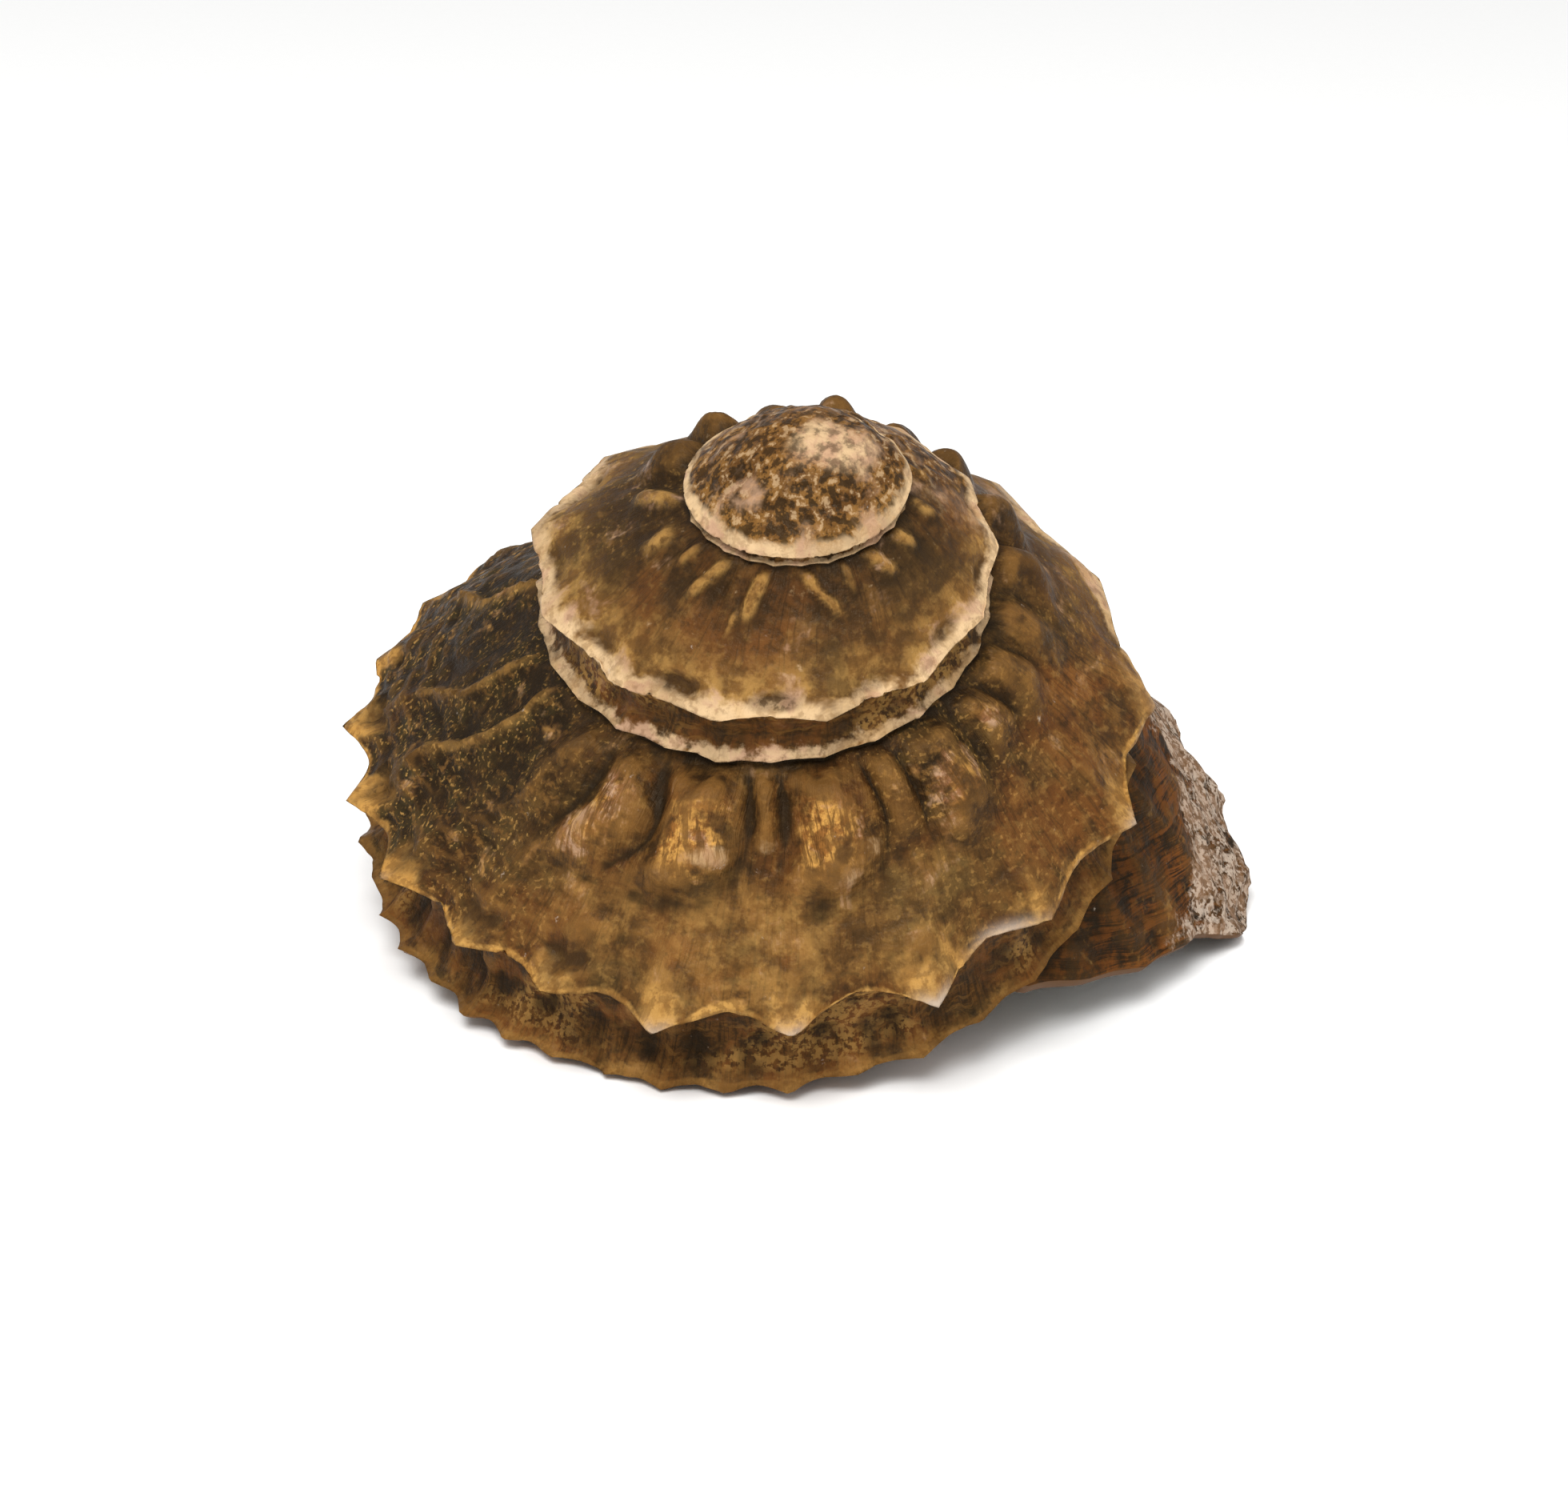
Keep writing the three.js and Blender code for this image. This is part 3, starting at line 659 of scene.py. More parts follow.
def grow_outside(skin, coil, strength):
    """The outside. A row's first place is the one under the lower keel a turn before."""
    join, past = JOIN_COLUMN, JOIN_COLUMN + 1
    row, c = np.meshgrid(np.arange(START, LIP + 1.0), COLUMNS, indexing="ij")
    t = growth_at(row, c)
    grid = coil.place(t, c)
    risen = ease(row, START, START + FIRST_TAPER)[..., None]
    grid = mix(level_with_tip(coil, grid, t, c), grid, risen)
    grid = grid + normals_of(grid) * (strength * relief(coil, row, t, c, grid))[..., None]

    last_turn = len(row) - 1 - TURN
    numbers = np.full(row.shape, -1)
    numbers[:TURN, :past] = skin.add(grid[:TURN, :past]).reshape(TURN, -1)
    numbers[TURN:, 1:past] = skin.add(grid[TURN:, 1:past]).reshape(-1, join)
    numbers[TURN:, 0] = numbers[:-TURN, join]
    numbers[last_turn:, past:-1] = skin.add(grid[last_turn:, past:-1]).reshape(TURN + 1, -1)
    numbers[last_turn:, -1] = skin.add([0, 0, -FOOT_DEPTH * coil.keel])[0]

    values = packed(coil, row, c, marks_at(coil, row, t, c) | {"patch": pale_patch(grid)})
    skin.sheet(numbers[:, :past], values[:, :past])
    skin.sheet(numbers[last_turn:, join:], values[last_turn:, join:])
    return numbers


def close_tip(skin, coil, numbers, strength):
    """The worn tip: a low dome over the first turn, with its granules."""
    under = numbers[0, JOIN_COLUMN - 1:0:-1]
    rim = np.concatenate([numbers[:TURN, 0], numbers[TURN, :1], under, numbers[:1, 0]])
    places = skin.all_places()[rim[:-1]]
    top = -APEX_DEPTH * coil.keel
    rings = [rim]
    for share in TIP_RINGS:
        flat = places * [share, share, 1]
        flat[:, 2] = top + (places[:, 2] - top) * share ** TIP_CURVE
        worn = 0.14 * cloud(flat, 0.8, 61) + 0.12 * cloud(flat, 1.5, 62)
        flat[:, 2] += strength * worn * min(1, 3 * (1 - share))
        ring = skin.add(flat)
        rings.append(np.append(ring, ring[0]))
    rings.append(np.full(len(rim), skin.add([0, 0, top])[0]))
    numbers = np.array(rings)
    t = np.full(numbers.shape, float(START))
    row = t + 60 * np.linspace(0, 1, len(rings))[:, None]
    c = np.full(numbers.shape, 0.5)
    plain = {"keel": 0, "fold": 0, "wall": 0, "patch": pale_patch(skin.all_places()[numbers])}
    skin.sheet(numbers, packed(coil, row, c, marks_at(coil, row, t, c) | plain))


def hollow_out(skin, coil, numbers):
    """The hollow of the last whorl: rings from the mouth's edge back up the coil."""
    last_turn = len(numbers) - 1 - TURN
    parting = slice(JOIN_COLUMN + 1, len(COLUMNS) - 1)
    parting_c = COLUMNS[parting][::-1]
    c = np.concatenate([COLUMNS, parting_c])
    t = np.concatenate([lip_angle(COLUMNS), growth_at(float(LIP - TURN), parting_c) + TURN])
    edge = np.concatenate([numbers[-1], numbers[last_turn, parting][::-1]])
    thick = mix(LIP_EDGE, PILLAR, ease(c, 2.6, FOOT))

    places = skin.all_places()[edge]
    centre_r, centre_z = TUBE_CENTRE * coil.keel_radius(t), coil.keel_height(t)
    out_r, out_z = np.hypot(places[:, 0], places[:, 1]) - centre_r, places[:, 2] - centre_z
    angle, reach = np.arctan2(out_z, out_r), np.hypot(out_r, out_z)

    rings, depths, backs = [edge], [0 * t], [0]
    further = [(back, 1) for back in np.arange(FIRST_TUBE_RING, TUBE_LENGTH, TUBE_STEP)]
    for back, thinned in MOUTH_RINGS + further:
        at = t - back
        radius = coil.keel_radius(at)
        tube = 1 / np.hypot(np.cos(angle) / (TUBE_WIDTH * radius), np.sin(angle) / (TUBE_HEIGHT * radius))
        wide = mix(np.maximum(reach - thick * thinned, 1), tube, ease(back, 0, TUBE_BLEND))
        wide = wide * math.sqrt(1 - max(0, (back - TUBE_LENGTH + TUBE_END) / TUBE_END) ** 2)
        rings.append(skin.add(turned(at, TUBE_CENTRE * radius + wide * np.cos(angle),
                                     coil.keel_height(at) + wide * np.sin(angle))))
        depths.append(thick * thinned + np.radians(max(back, 0)) * radius)
        backs.append(back)
    end = float(LIP_AT_KEEL - TUBE_LENGTH)
    blind = skin.add(turned(end, TUBE_CENTRE * coil.keel_radius(end), coil.keel_height(end)))[0]
    rings.append(np.full(len(edge), blind))
    depths.append(depths[-1])
    backs.append(TUBE_LENGTH)

    grid = np.array([np.append(ring, ring[0]) for ring in rings])
    depth = np.array([np.append(d, d[0]) for d in depths])
    closed = np.append(c, c[0])
    row = LIP - np.array(backs)[:, None] + 0 * depth
    values = packed(coil, row, 0, {"depth": depth})
    values[..., -1] = np.interp(closed, [0, FOOT], [0, MOUTH_ROUND])
    skin.sheet(grid, values)


def laid_down(places):
    """Leans the coil over, as the shell lies at rest."""
    forward, side = math.radians(LEAN_FORWARD), math.radians(LEAN_SIDE)
    lean = np.array(Matrix.Rotation(side, 3, "Y") @ Matrix.Rotation(forward, 3, "X"))
    return places @ lean.T


def rest_shift(coil, depth):
    """Where the plain coil's footprint puts the origin, so the detail doesn't move it."""
    row, c = np.meshgrid(np.arange(START, LIP + 1, 4.0), FOOTPRINT, indexing="ij")
    places = laid_down(coil.place(growth_at(row, c), c)[(c <= JOIN) | (row >= LIP - TURN)])
    low, high = places.min(0), places.max(0)
    return np.array([-(low[0] + high[0]) / 2, -(low[1] + high[1]) / 2, -low[2] - depth])


def hollowness(mesh, places, rounds):
    """How far each place lies below the smoothed surface round it, in millimetres."""
    edges = np.empty(2 * len(mesh.edges), int)
    mesh.edges.foreach_get("vertices", edges)
    a, b = edges.reshape(-1, 2).T
    ends, others = np.concatenate([a, b]), np.concatenate([b, a])
    degree = np.bincount(ends, minlength=len(places))[:, None]
    smooth = places.copy()
    for _ in range(rounds):
        total = np.stack([np.bincount(ends, smooth[others, k], len(places)) for k in range(3)], -1)
        smooth = 0.5 * smooth + 0.5 * total / degree
    normals = np.empty(3 * len(places))
    mesh.vertex_normals.foreach_get("vector", normals)
    return np.sum((smooth - places) * normals.reshape(-1, 3), axis=-1)


def add_values(mesh, name, values, domain, kind="FLOAT", key="value"):
    layer = mesh.attributes.new(name, kind, domain)
    layer.data.foreach_set(key, np.ascontiguousarray(values, np.float32).ravel())


def shell_mesh(sizes):
    """Grows the whole shell, with its worn flats, as a mesh in metres with marks on its corners."""
    coil = Coil(sizes)
    skin = Skin()
    numbers = grow_outside(skin, coil, sizes.roughness)
    close_tip(skin, coil, numbers, sizes.roughness)
    outside_faces = len(skin.faces)
    hollow_out(skin, coil, numbers)

    depth = sizes.rest_depth / MM
    places = laid_down(skin.all_places()) + rest_shift(coil, depth)
    places[:, 2] = np.maximum(places[:, 2], 0)
    mesh = bpy.data.meshes.new("shell_grown")
    mesh.from_pydata((places * MM).tolist(), [], skin.faces)
    mesh.polygons.foreach_set("use_smooth", np.ones(len(mesh.polygons), bool))
    inside = np.arange(len(mesh.polygons)) >= outside_faces
    mesh.polygons.foreach_set("material_index", inside.astype(np.int32))

    corners = np.concatenate(skin.values)
    for index, name in enumerate(MARKS):
        add_values(mesh, name, corners[:, index], "CORNER")
    grain = np.stack([corners[:, -2], corners[:, -1], 0 * corners[:, 0]], -1)
    add_values(mesh, "grain", grain, "CORNER", "FLOAT_VECTOR", "vector")
    for name, rounds in SMOOTHINGS.items():
        add_values(mesh, name, hollowness(mesh, places, rounds), "POINT")
    return mesh


# ---------------------------------------------------------------- finishes

class Nodes:
    """Adds nodes to one tree. A colour or noise that has been named can be given by its name."""

    def __init__(self, tree, named=None):
        self.tree = tree
        self.named = dict(named or {})

    def feed(self, socket, value):
        """Links a socket to another one, or sets its own value."""
        if isinstance(value, str):
            value = self.named[value]
        if isinstance(value, bpy.types.NodeSocket):
            self.tree.links.new(value, socket)
        elif socket.type == "RGBA":
            socket.default_value = (*value[:3], 1)
        else:
            socket.default_value = value

    def put(self, kind, inputs=None, out=0, **settings):
        """Adds a node, sets it up, and gives one of its outputs."""
        node = self.tree.nodes.new("ShaderNode" + kind)
        for name, value in settings.items():
            setattr(node, name, value)
        for socket, value in (inputs or {}).items():
            self.feed(node.inputs[socket], value)
        return node.outputs[out]

    def place(self, group, inputs):
        """Places a group with its own values and gives its outputs."""
        return self.put("Group", inputs, node_tree=group).node.outputs

    def mark(self, name, out="Fac"):
        return self.put("Attribute", attribute_name=name, out=out)

    def speckle(self, where, scale, detail=3.0, rough=0.55, distortion=0.0):
        return self.put("TexNoise", {"Vector": where, "Scale": scale, "Detail": detail,
                                     "Roughness": rough, "Distortion": distortion})

    def calc(self, operation, a, b, clamp=False):
        return self.put("Math", {0: a, 1: b}, operation=operation, use_clamp=clamp)

    def plus(self, a, b):
        return self.calc("ADD", a, b)

    def less(self, a, b):
        return self.calc("SUBTRACT", a, b)

    def most(self, a, b):
        return self.calc("MAXIMUM", a, b)

    def times(self, first, *others):
        for factor in others:
            first = self.calc("MULTIPLY", first, factor)
        return first

    def total(self, *parts):
        """The sum of values, each times its weight."""
        weighed = [self.times(value, weight) for value, weight in parts]
        return functools.reduce(self.plus, weighed)

    def broken(self, value, noise, strength, middle=0.5):
        """A mark whose edge is broken up by a noise."""
        return self.plus(value, self.times(self.less(noise, middle), strength))

    def between(self, value, low, high, to_low=0.0, to_high=1.0):
        """Turns a value from low to high into a smooth rise."""
        return self.put("MapRange", {"Value": value, "From Min": low, "From Max": high,
                                     "To Min": to_low, "To Max": to_high},
                        interpolation_type="SMOOTHSTEP")

    def both(self, first, second, strength=1.0):
        """Where two noises rise together; each is given as for between."""
        return self.times(self.between(*first), self.between(*second), strength)

    def marked(self, name, *rise, strength=1.0):
        """A mark of the skin, shown where a noise rises."""
        return self.times(self.mark(name), self.between(*rise), strength)

    def blend(self, share, under, over):
        return self.put("Mix", {0: share, 6: under, 7: over}, 2, data_type="RGBA")

    def mottled(self, noise, low, high, under, over):
        """One colour, and another over it where a noise rises from low to high."""
        return self.blend(self.between(noise, low, high), under, over)

    def layers(self, coat, *coats):
        """Mottled coats over one another: the noise, low, high, strength and colour of each."""
        for noise, low, high, strength, over in coats:
            coat = self.blend(self.times(self.between(noise, low, high), strength), coat, over)
        return coat


def new_group(name, inputs, outputs):
    """A node group with named inputs and outputs; each is a name, a kind and a default."""
    group = bpy.data.node_groups.new(name, "ShaderNodeTree")
    for label, kind, default in inputs:
        socket = group.interface.new_socket(label, in_out="INPUT", socket_type="NodeSocket" + kind)
        socket.default_value = default
    for label, kind in outputs:
        group.interface.new_socket(label, in_out="OUTPUT", socket_type="NodeSocket" + kind)
    given, result = group.nodes.new("NodeGroupInput").outputs, group.nodes.new("NodeGroupOutput").inputs
    return Nodes(group), given, result


def growth_lines_group():
    """Fine lines that follow the lip, and finer ones that follow the coil."""
    nodes, given, result = new_group(
        "Growth lines",
        [("Along", "Float", 2.0), ("Across", "Float", 0.15), ("Wobble", "Float", 0.3)],
        [("Lines", "Float"), ("Threads", "Float")])
    grain = nodes.mark("grain", "Vector")
    shift = nodes.times(nodes.speckle(grain, 0.35, 2.0), given["Wobble"])
    parts = nodes.put("SeparateXYZ", {0: grain}).node.outputs
    along, across = (nodes.plus(part, shift) for part in parts[:2])
    for name, a, b in (("Lines", "Along", "Across"), ("Threads", "Across", "Along")):
        drawn = {0: nodes.times(along, given[a]), 1: nodes.times(across, given[b])}
        nodes.feed(result[name], nodes.speckle(nodes.put("CombineXYZ", drawn), 1.0, 4.0, 0.6))
    return nodes.tree


def dirt_and_shade_group():
    """Dirt and painted shade that darken the hollows, and paler rubbing on the ridges."""
    nodes, given, result = new_group(
        "Dirt and rubbing",
        [("Color", "Color", (0.5, 0.5, 0.5, 1)), ("Dirt", "Color", (0.03, 0.02, 0.01, 1)),
         ("Rubbed", "Color", (0.6, 0.45, 0.3, 1)), ("Dirt amount", "Float", 0.8),
         ("Rub amount", "Float", 0.4), ("Breakup", "Float", 0.5)],
        [("Color", "Color")])
    fine, wide = nodes.mark("hollow_fine"), nodes.mark("hollow_wide")
    broken = nodes.times(nodes.less(given["Breakup"], 0.5), 0.09)
    fine_hollow = nodes.between(nodes.plus(fine, broken), 0.015, 0.15)
    wide_hollow = nodes.between(nodes.plus(wide, nodes.times(broken, 4.0)), 0.25, 1.5)
    hollow = nodes.most(fine_hollow, wide_hollow)
    ridge = nodes.between(nodes.less(nodes.times(fine, -1.0), broken), 0.015, 0.1)
    rubbed = nodes.blend(nodes.times(ridge, given["Rub amount"]), given["Color"], given["Rubbed"])
    dirtied_and_shaded = nodes.blend(nodes.times(hollow, given["Dirt amount"]), rubbed, given["Dirt"])
    nodes.feed(result["Color"], dirtied_and_shaded)
    return nodes.tree


def new_material(name, colours=None):
    """A material, and the nodes in it, with the colours named."""
    material = bpy.data.materials.new(name)
    material.use_nodes = True
    return material, Nodes(material.node_tree, colours)


def finish(nodes, values):
    """Wires up the material's own shader."""
    shader = nodes.tree.nodes["Principled BSDF"]
    for name, value in values.items():
        nodes.feed(shader.inputs[name], value)


def name_noises(nodes, lines_group):
    """The noises of the outside, from clouds a few millimetres wide to fine crumbs."""
    where = nodes.put("TexCoord", out="Object")
    for name, *look in (
            ("big", 150.0, 3.0, 0.6), ("patch", 330.0, 4.0, 0.62, 0.4), ("mid", 700.0, 4.0, 0.65),
            ("fleck", 900.0, 4.0, 0.7), ("grit", 1500.0, 3.0, 0.6), ("fine", 1900.0, 3.0, 0.6),
            ("crumb", 2600.0, 2.0, 0.6)):
        nodes.named[name] = nodes.speckle(where, *look)
    along, across = nodes.put("SeparateXYZ", {0: nodes.mark("grain", "Vector")}).node.outputs[:2]
    beads = nodes.put("CombineXYZ", {0: nodes.times(along, 1.3), 1: nodes.times(across, 3.4)})
    slant = nodes.times(nodes.plus(along, nodes.times(across, 0.55)), 1.25)
    steep = nodes.times(nodes.less(across, nodes.times(along, 0.4)), 0.42)
    wavy = nodes.put("CombineXYZ", {0: slant, 1: steep})
    lines = nodes.place(lines_group, {"Along": 2.4, "Across": 0.22, "Wobble": 1.6})
    nodes.named.update({
        "beads": nodes.speckle(beads, 1.0, 2.0, 0.5), "wavy": nodes.speckle(wavy, 1.0, 3.0, 0.6, 0.8),
        "growth": lines["Lines"], "threads": lines["Threads"],
    })


def plain_skin(nodes):
    """Brown and tan clouds with darker lines of growth."""
    return nodes.layers(
        nodes.mottled("mid", 0.34, 0.6, "dark", "brown"),
        ("patch", 0.46, 0.62, 0.75, "tan"), ("big", 0.48, 0.62, 0.55, "rust"),
        ("big", 0.46, 0.36, 0.5, "olive"), ("growth", 0.5, 0.64, 0.45, "umber"),
        ("grit", 0.54, 0.7, 0.25, "ochre"), ("grit", 0.46, 0.34, 0.5, "umber"))


def algae(nodes, coat):
    """Dark olive growth, with streaks and beads of paler skin showing through."""
    olive = nodes.mottled("mid", 0.44, 0.64, "umber", "olive")
    olive = nodes.blend(nodes.both(("threads", 0.5, 0.6), ("grit", 0.42, 0.58), 0.5), olive, "tan")
    olive = nodes.blend(nodes.both(("beads", 0.56, 0.66), ("mid", 0.42, 0.56), 0.75), olive, "ochre")
    return nodes.blend(nodes.marked("olive", "patch", 0.3, 0.6, 0.7, 1.0), coat, olive)


def folds_and_ridges(nodes, coat):
    """Darker early whorls, paler lower shoulders, and rubbed backs of folds and ridges."""
    pale = nodes.mottled("mid", 0.44, 0.58, "tan", "ochre")
    for rise, strength, over in (
            (("worn", "mid", 0.35, 0.6, 0.6, 0.3), 1.0, "dark"),
            (("low_half", "patch", 0.36, 0.56, 0.3, 1.0), 0.75, pale),
            (("fold", "mid", 0.42, 0.6), 0.55, "tan"),
            (("fold", "patch", 0.52, 0.42), 0.6, "dark"),
            (("finger", "grit", 0.36, 0.6, 0.15, 0.8), 1.0, "ochre")):
        coat = nodes.blend(nodes.marked(*rise, strength=strength), coat, over)
    return coat


def gold_stains_and_highlights(nodes, coat):
    """Streaky golden stains on the folds, partly a painted highlight on their crests, and painted
    highlights on the knobs at their ends.
    """
    gold = nodes.layers(
        nodes.mottled("patch", 0.5, 0.6, "gold", "rose"),
        ("mid", 0.56, 0.46, 0.8, "rust"), ("wavy", 0.47, 0.57, 0.8, "brown"),
        ("crumb", 0.5, 0.62, 0.35, "dark"))
    stain = nodes.broken(nodes.mark("gold"), "patch", 3.0, 0.56)
    coat = nodes.blend(nodes.both((stain, 0.05, 0.6), ("fine", 0.36, 0.5, 0.5, 0.92)), coat, gold)
    # Painted highlights on the knobs, in cream and rose.
    knobs = nodes.broken(nodes.mark("bright"), "mid", 1.2)
    knobs = nodes.both((knobs, 0.35, 0.9), ("wavy", 0.6, 0.5, 0.3, 0.85))
    return nodes.blend(knobs, coat, nodes.mottled("patch", 0.44, 0.56, "cream", "rose"))


def walls(nodes, coat):
    """Dark walls between the keels, with rusty and pale patches."""
    wall = nodes.layers(
        nodes.mottled("mid", 0.38, 0.56, "dark", "brown"),
        ("growth", 0.48, 0.6, 0.65, "umber"), ("beads", 0.5, 0.42, 0.5, "umber"),
        ("patch", 0.48, 0.62, 0.6, "rust"), ("threads", 0.54, 0.64, 0.5, "tan"))
    pale = nodes.both(("big", 0.48, 0.6), ("crumb", 0.44, 0.56), 0.6)
    return nodes.blend(nodes.times(nodes.mark("wall"), 0.85), coat, nodes.blend(pale, wall, "ochre"))


def last_part(nodes, coat):
    """The rusty last part of the whorl, and painted shade in umber along the seam and between the folds.
    """
    grown = nodes.total(("growth", 0.55), ("mid", 0.45))
    late = nodes.layers(
        nodes.mottled(grown, 0.44, 0.58, "umber", "rust"),
        ("patch", 0.44, 0.58, 0.55, "brown"), ("grit", 0.58, 0.68, 0.5, "tan"))
    coat = nodes.blend(nodes.times(nodes.mark("late"), 0.9), coat, late)
    # Painted shade in umber.
    return nodes.blend(nodes.marked("shade", "mid", 0.4, 0.6, 0.9, 0.5), coat, "umber")


def worn_tip(nodes, coat):
    """Granules of brown and cream on the tip, with a bare patch."""
    granules = nodes.layers(
        nodes.mottled("mid", 0.38, 0.62, "brown", "tan"), ("grit", 0.53, 0.44, 0.85, "umber"),
        ("grit", 0.56, 0.64, 0.5, "cream"), ("patch", 0.5, 0.66, 0.5, "rose"))
    coat = nodes.blend(nodes.times(nodes.mark("early"), 0.85), coat, granules)
    bare = nodes.broken(nodes.mark("patch"), "patch", 1.3, 0.52)
    bare = nodes.both((bare, 0.3, 0.9), ("grit", 0.36, 0.56, 0.3, 0.85))
    return nodes.blend(bare, coat, nodes.mottled("mid", 0.4, 0.6, "cream", "rose"))


def dirt_and_shade(nodes, coat, group):
    """Dirt and painted shade in the hollows, and rubbing, with less rubbing on the algae and the last
    part.
    """
    rubbing = nodes.both((nodes.mark("olive"), 0, 1, 0.5, 0.25), (nodes.mark("late"), 0, 1, 1.0, 0.2))
    return nodes.place(group, {"Color": coat, "Dirt": "umber", "Rubbed": "tan", "Dirt amount": 0.85,
                               "Rub amount": rubbing, "Breakup": "mid"})["Color"]


def keels(nodes, coat):
    """Cream keels on the early whorls, horny ones with spines after them, pits and white tips, with a
    painted sheen streak on the front keel.
    """
    worn = nodes.layers(
        nodes.mottled("patch", 0.5, 0.64, "cream", "rose"),
        ("big", 0.52, 0.62, 0.45, "ochre"), ("grit", 0.5, 0.62, 0.35, "brown"))
    golden = nodes.between(nodes.mark("olive"), 0, 1, 0.25, 0.7)
    horn = nodes.layers(
        nodes.mottled("mid", 0.42, 0.6, "ochre", "tan"),
        ("patch", 0.44, 0.56, golden, "gold"), ("grit", 0.46, 0.58, 0.5, "brown"))
    upper = nodes.broken(nodes.mark("keel"), "patch", 2.6)
    upper = nodes.both((upper, 0.25, 0.8), ("big", 0.38, 0.54, 0.6, 1.0))
    tongue = nodes.between(nodes.broken(nodes.mark("tongue"), "patch", 1.6), 0.35, 1.05)
    lower = nodes.between(nodes.broken(nodes.mark("low_keel"), "mid", 3.0), 0.4, 1.0)
    share = nodes.plus(nodes.times(nodes.mark("worn"), 0.5), nodes.between("patch", 0.4, 0.6, 0.1, 0.5))
    rim = nodes.most(nodes.most(upper, nodes.times(tongue, 0.9)), nodes.times(lower, share))
    rim = nodes.times(rim, nodes.less(1.0, nodes.mark("crust")))
    coat = nodes.blend(rim, coat, nodes.blend(nodes.mark("worn"), horn, worn))
    # The pockets behind the spines are darkened, partly as dirt and partly as painted shade.
    coat = nodes.blend(nodes.marked("pit", "grit", 0.4, 0.6, 0.9, 0.4), coat, "dark")
    # Chalk on the spine tips and on the painted sheen streak.
    return nodes.blend(nodes.times(nodes.mark("spine_tip"), 0.8), coat, "chalk")


def outside_material(colours, lines_group, dirt_and_shade_nodes):
    """The rough skin: brown and tan, with ochre spines, cream keels, gold stains and crust."""
    material, nodes = new_material("shell_skin", colours)
    name_noises(nodes, lines_group)
    coat = plain_skin(nodes)
    for layer in (algae, folds_and_ridges, gold_stains_and_highlights, walls, last_part, worn_tip):
        coat = layer(nodes, coat)
    coat = keels(nodes, dirt_and_shade(nodes, coat, dirt_and_shade_nodes))

    lime = nodes.layers(
        nodes.mottled(nodes.broken("crumb", "mid", 0.5), 0.43, 0.54, "dark", "chalk"),
        ("grit", 0.48, 0.6, 0.7, "brown"), ("patch", 0.4, 0.6, 0.35, "rose"))
    crust = nodes.broken(nodes.broken(nodes.mark("crust"), "patch", 3.4), "mid", 2.4)
    crust = nodes.both((crust, 0.35, 0.9), (nodes.mark("crust"), 0.02, 0.2), 0.92)
    coat = nodes.blend(crust, coat, lime)
    coat = nodes.layers(coat, ("fleck", 0.68, 0.78, 0.6, "chalk"))

    height = nodes.total(("mid", 0.5), ("fine", 0.3), ("growth", 0.45), ("threads", 0.25), ("grit", 0.4),
                         (nodes.times(crust, "grit"), 0.5))
    dull = nodes.times(nodes.most(crust, nodes.mark("late")), 0.3)
    finish(nodes, {
        "Base Color": coat,
        "Roughness": nodes.calc("ADD", nodes.between("mid", 0.35, 0.65, 0.34, 0.6), dull, True),
        "Normal": nodes.put("Bump", {"Height": height, "Strength": 0.75, "Distance": 0.00035}),
        "IOR": 1.5, "Specular IOR Level": 0.1, "Specular Tint": (1, 0.84, 0.62)})
    return material


def inside_material(colours, lines_group, dirt_and_shade_nodes):
    """The mouth: a thin horny edge, then pearl with faint bands of its growth."""
    material, nodes = new_material("shell_pearl", colours)
    where = nodes.put("TexCoord", out="Object")
    clouds = nodes.speckle(where, 110.0, 3.0, 0.5, 0.8)
    mid = nodes.speckle(where, 600.0, 4.0, 0.6)
    bands = nodes.place(lines_group, {"Along": 1.1, "Across": 0.08, "Wobble": 0.9})["Lines"]
    depth = nodes.mark("depth")
    pearl = nodes.layers(
        nodes.mottled(clouds, 0.35, 0.55, "pearl", "sheen_green"),
        (clouds, 0.5, 0.7, 1.0, "sheen_rose"), (bands, 0.45, 0.65, 0.35, "sheen_blue"))
    porcelain = nodes.mottled(depth, 3.4, 6.0, "cream", pearl)
    past_edge = nodes.between(nodes.broken(depth, mid, 2.4), 1.8, 3.0)
    # Brown dirt and painted shade in the hollows of the mouth.
    coat = nodes.place(dirt_and_shade_nodes, {
        "Color": nodes.blend(past_edge, "brown", porcelain), "Dirt": "brown", "Dirt amount": 0.4,
        "Rubbed": nodes.blend(past_edge, "brown", "cream"), "Rub amount": 0.3, "Breakup": mid})["Color"]
    height = nodes.total((mid, 0.2), (bands, 0.3))
    finish(nodes, {
        "Base Color": coat, "Roughness": nodes.between(depth, 1.0, 4.5, 0.75, 0.2),
        "Normal": nodes.put("Bump", {"Height": height, "Strength": 0.4, "Distance": 0.0002}),
        "Coat Weight": nodes.between(depth, 2.5, 5.0, 0.0, 0.5), "Coat Roughness": 0.12,
        "IOR": 1.6, "Specular IOR Level": 0.3})
    return material


def table_material(colour_of_table):
    """Smooth pale paper, very slightly uneven."""
    material, nodes = new_material("table_paper")
    grain = nodes.speckle(nodes.put("TexCoord", out="Object"), 900.0, 3.0)
    paler = tuple(min(1, value * 1.02) for value in colour_of_table)
    finish(nodes, {"Base Color": nodes.blend(grain, colour_of_table, paler), "Roughness": 0.9,
                   "Specular IOR Level": 0.2})
    return material


# ---------------------------------------------------------------- operators

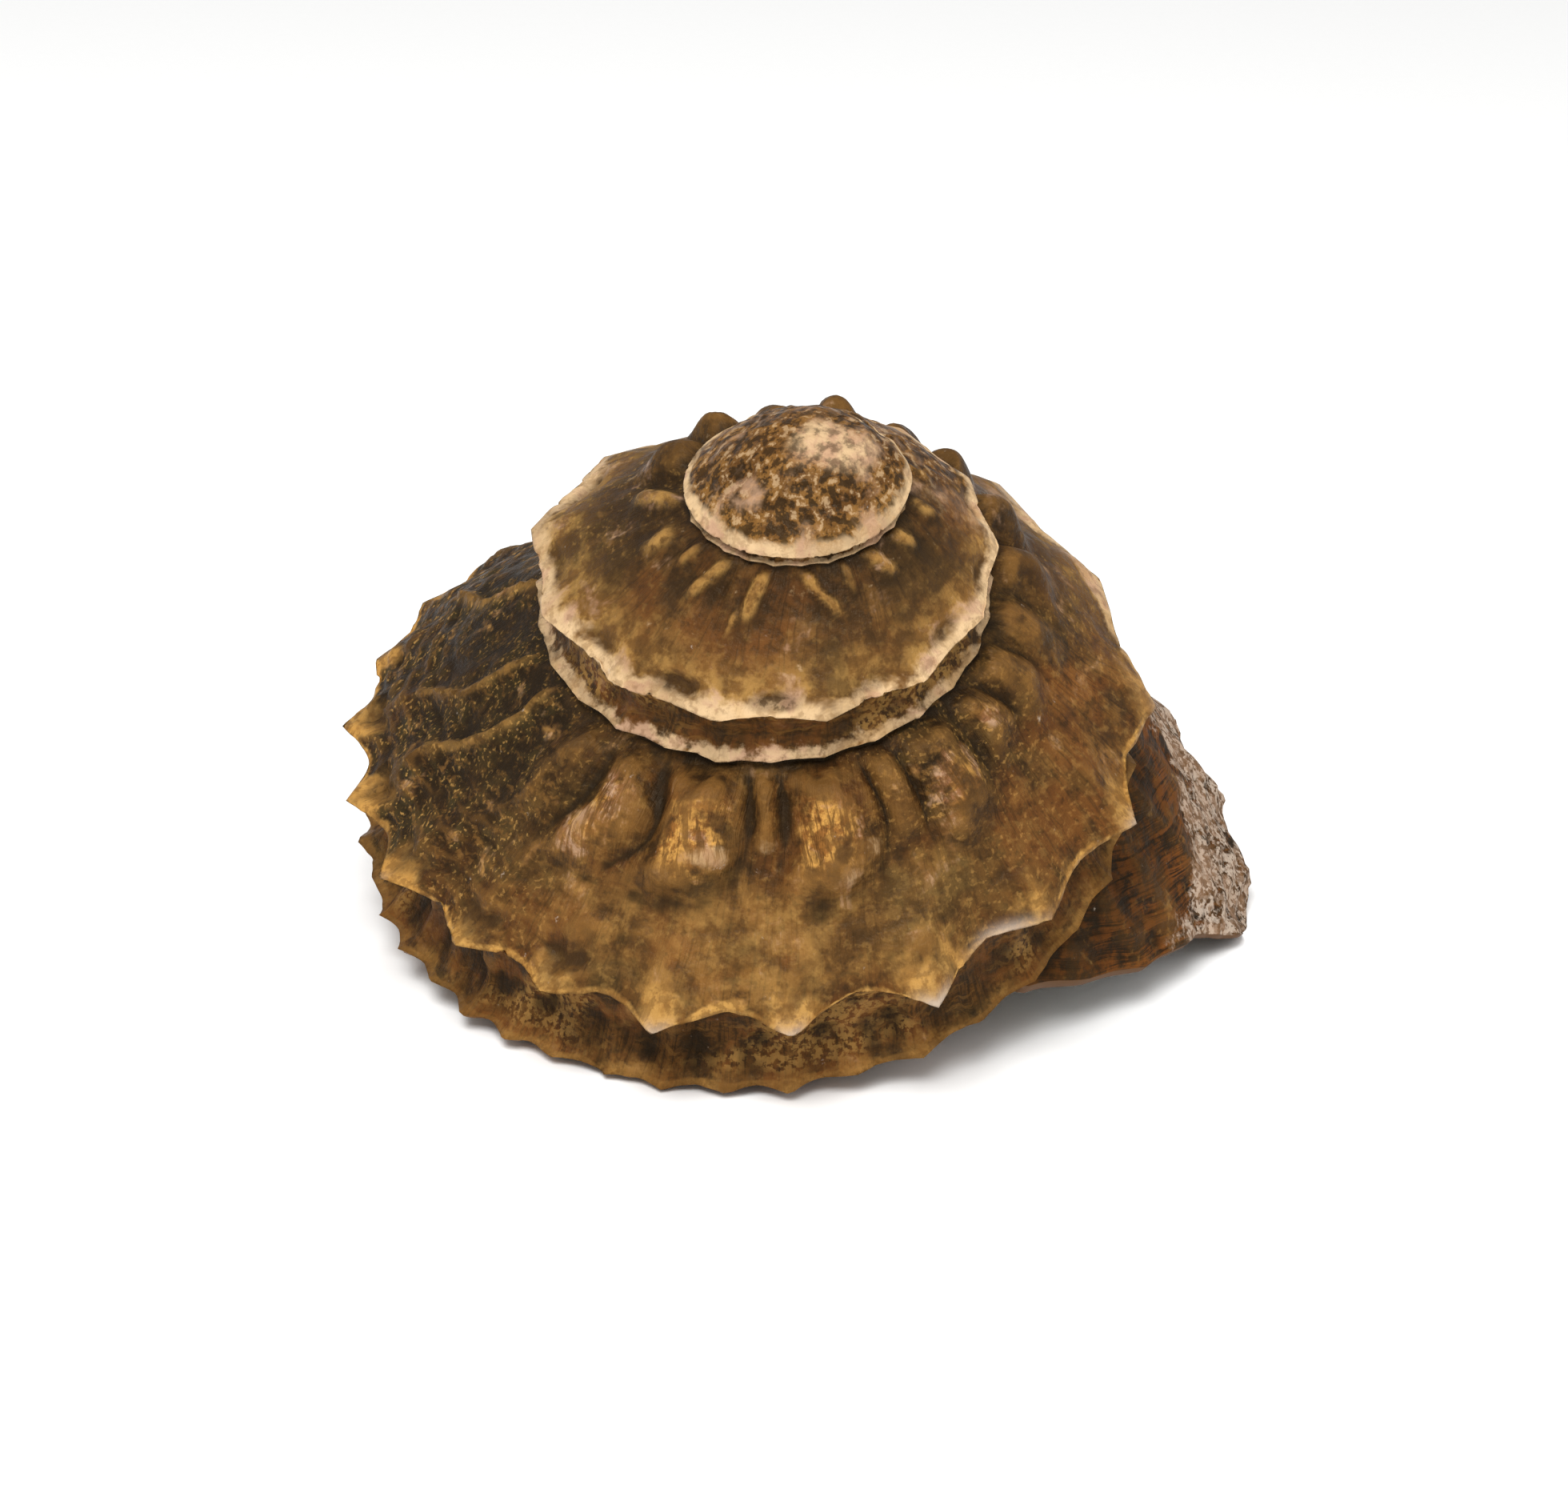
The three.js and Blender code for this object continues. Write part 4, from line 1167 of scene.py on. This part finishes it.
class TURBAN_OT_shell(bpy.types.Operator):
    """Grow the shell and give it its finish"""

    bl_idname = "turban.shell"
    bl_label = "Grow Shell"

    def execute(self, context):
        scene = context.scene
        shell = bpy.data.objects.new("turban_shell", shell_mesh(scene.turban_sizes))
        scene.collection.objects.link(shell)
        if not len(shell.data.polygons):
            raise RuntimeError("the shell didn't grow")
        colours = {name: getattr(scene.turban_colours, name) for name in TurbanColours.__annotations__}
        shared = (colours, growth_lines_group(), dirt_and_shade_group())
        shell.data.materials.append(outside_material(*shared))
        shell.data.materials.append(inside_material(*shared))
        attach(shell, "root")
        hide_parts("shell")
        return {"FINISHED"}


def add_light(context, name, power, size, place):
    light = bpy.data.lights.new(name, "AREA")
    light.energy, light.size = power, size
    lamp = bpy.data.objects.new(name, light)
    lamp.location = place
    lamp.rotation_euler = (AIM - Vector(place)).to_track_quat("-Z", "Y").to_euler()
    context.scene.collection.objects.link(lamp)


class TURBAN_OT_stage(bpy.types.Operator):
    """Set the table, the lights and the camera"""

    bl_idname = "turban.stage"
    bl_label = "Set Stage"

    def execute(self, context):
        scene, stage = context.scene, context.scene.turban_stage
        half = stage.table_width / 2
        mesh = bpy.data.meshes.new("table")
        mesh.from_pydata([(-half, -half, 0), (half, -half, 0), (half, half, 0), (-half, half, 0)], [],
                         [(0, 1, 2, 3)])
        mesh.materials.append(table_material(stage.table))
        table = bpy.data.objects.new("table", mesh)
        scene.collection.objects.link(table)

        world = bpy.data.worlds.new("sky")
        scene.world = world
        world.use_nodes = True
        background = world.node_tree.nodes["Background"]
        background.inputs["Color"].default_value = (1, 1, 1, 1)
        background.inputs["Strength"].default_value = stage.sky

        for name, size, place in LIGHTS:
            add_light(context, name, getattr(stage, name), size, place)

        flat = math.cos(stage.elevation) * stage.distance
        offset = Vector((flat * math.sin(stage.azimuth), -flat * math.cos(stage.azimuth),
                         math.sin(stage.elevation) * stage.distance))
        camera = bpy.data.cameras.new("camera")
        camera.lens, camera.clip_start, camera.clip_end = stage.lens, 0.01, 50
        holder = bpy.data.objects.new("camera", camera)
        turn = offset.to_track_quat("Z", "Y").to_matrix().to_4x4()
        holder.matrix_world = Matrix.Translation(AIM + offset) @ turn @ Matrix.Rotation(stage.roll, 4, "Z")
        scene.collection.objects.link(holder)
        scene.camera = holder
        scene.view_settings.view_transform = "Standard"
        return {"FINISHED"}


class TURBAN_PT_sidebar(bpy.types.Panel):
    """Lists the shell's operators and settings"""

    bl_idname = "TURBAN_PT_sidebar"
    bl_label = "Turban Shell"
    bl_space_type = "VIEW_3D"
    bl_region_type = "UI"
    bl_category = "Shell"

    def draw(self, context):
        scene = context.scene
        for operator in ("turban.shell", "turban.stage"):
            self.layout.operator(operator)
        for settings in (scene.turban_sizes, scene.turban_colours, scene.turban_stage):
            for name in settings.__annotations__:
                self.layout.prop(settings, name)


CLASSES = (TurbanSizes, TurbanColours, TurbanStage, TURBAN_OT_shell, TURBAN_OT_stage, TURBAN_PT_sidebar)


def register():
    for each in CLASSES:
        bpy.utils.register_class(each)
    bpy.types.Scene.turban_sizes = PointerProperty(type=TurbanSizes)
    bpy.types.Scene.turban_colours = PointerProperty(type=TurbanColours)
    bpy.types.Scene.turban_stage = PointerProperty(type=TurbanStage)


def unregister():
    del bpy.types.Scene.turban_sizes, bpy.types.Scene.turban_colours, bpy.types.Scene.turban_stage
    for each in reversed(CLASSES):
        bpy.utils.unregister_class(each)


def main():
    register()
    bpy.ops.turban.shell()
    bpy.ops.turban.stage()


if __name__ == "__main__":
    main()
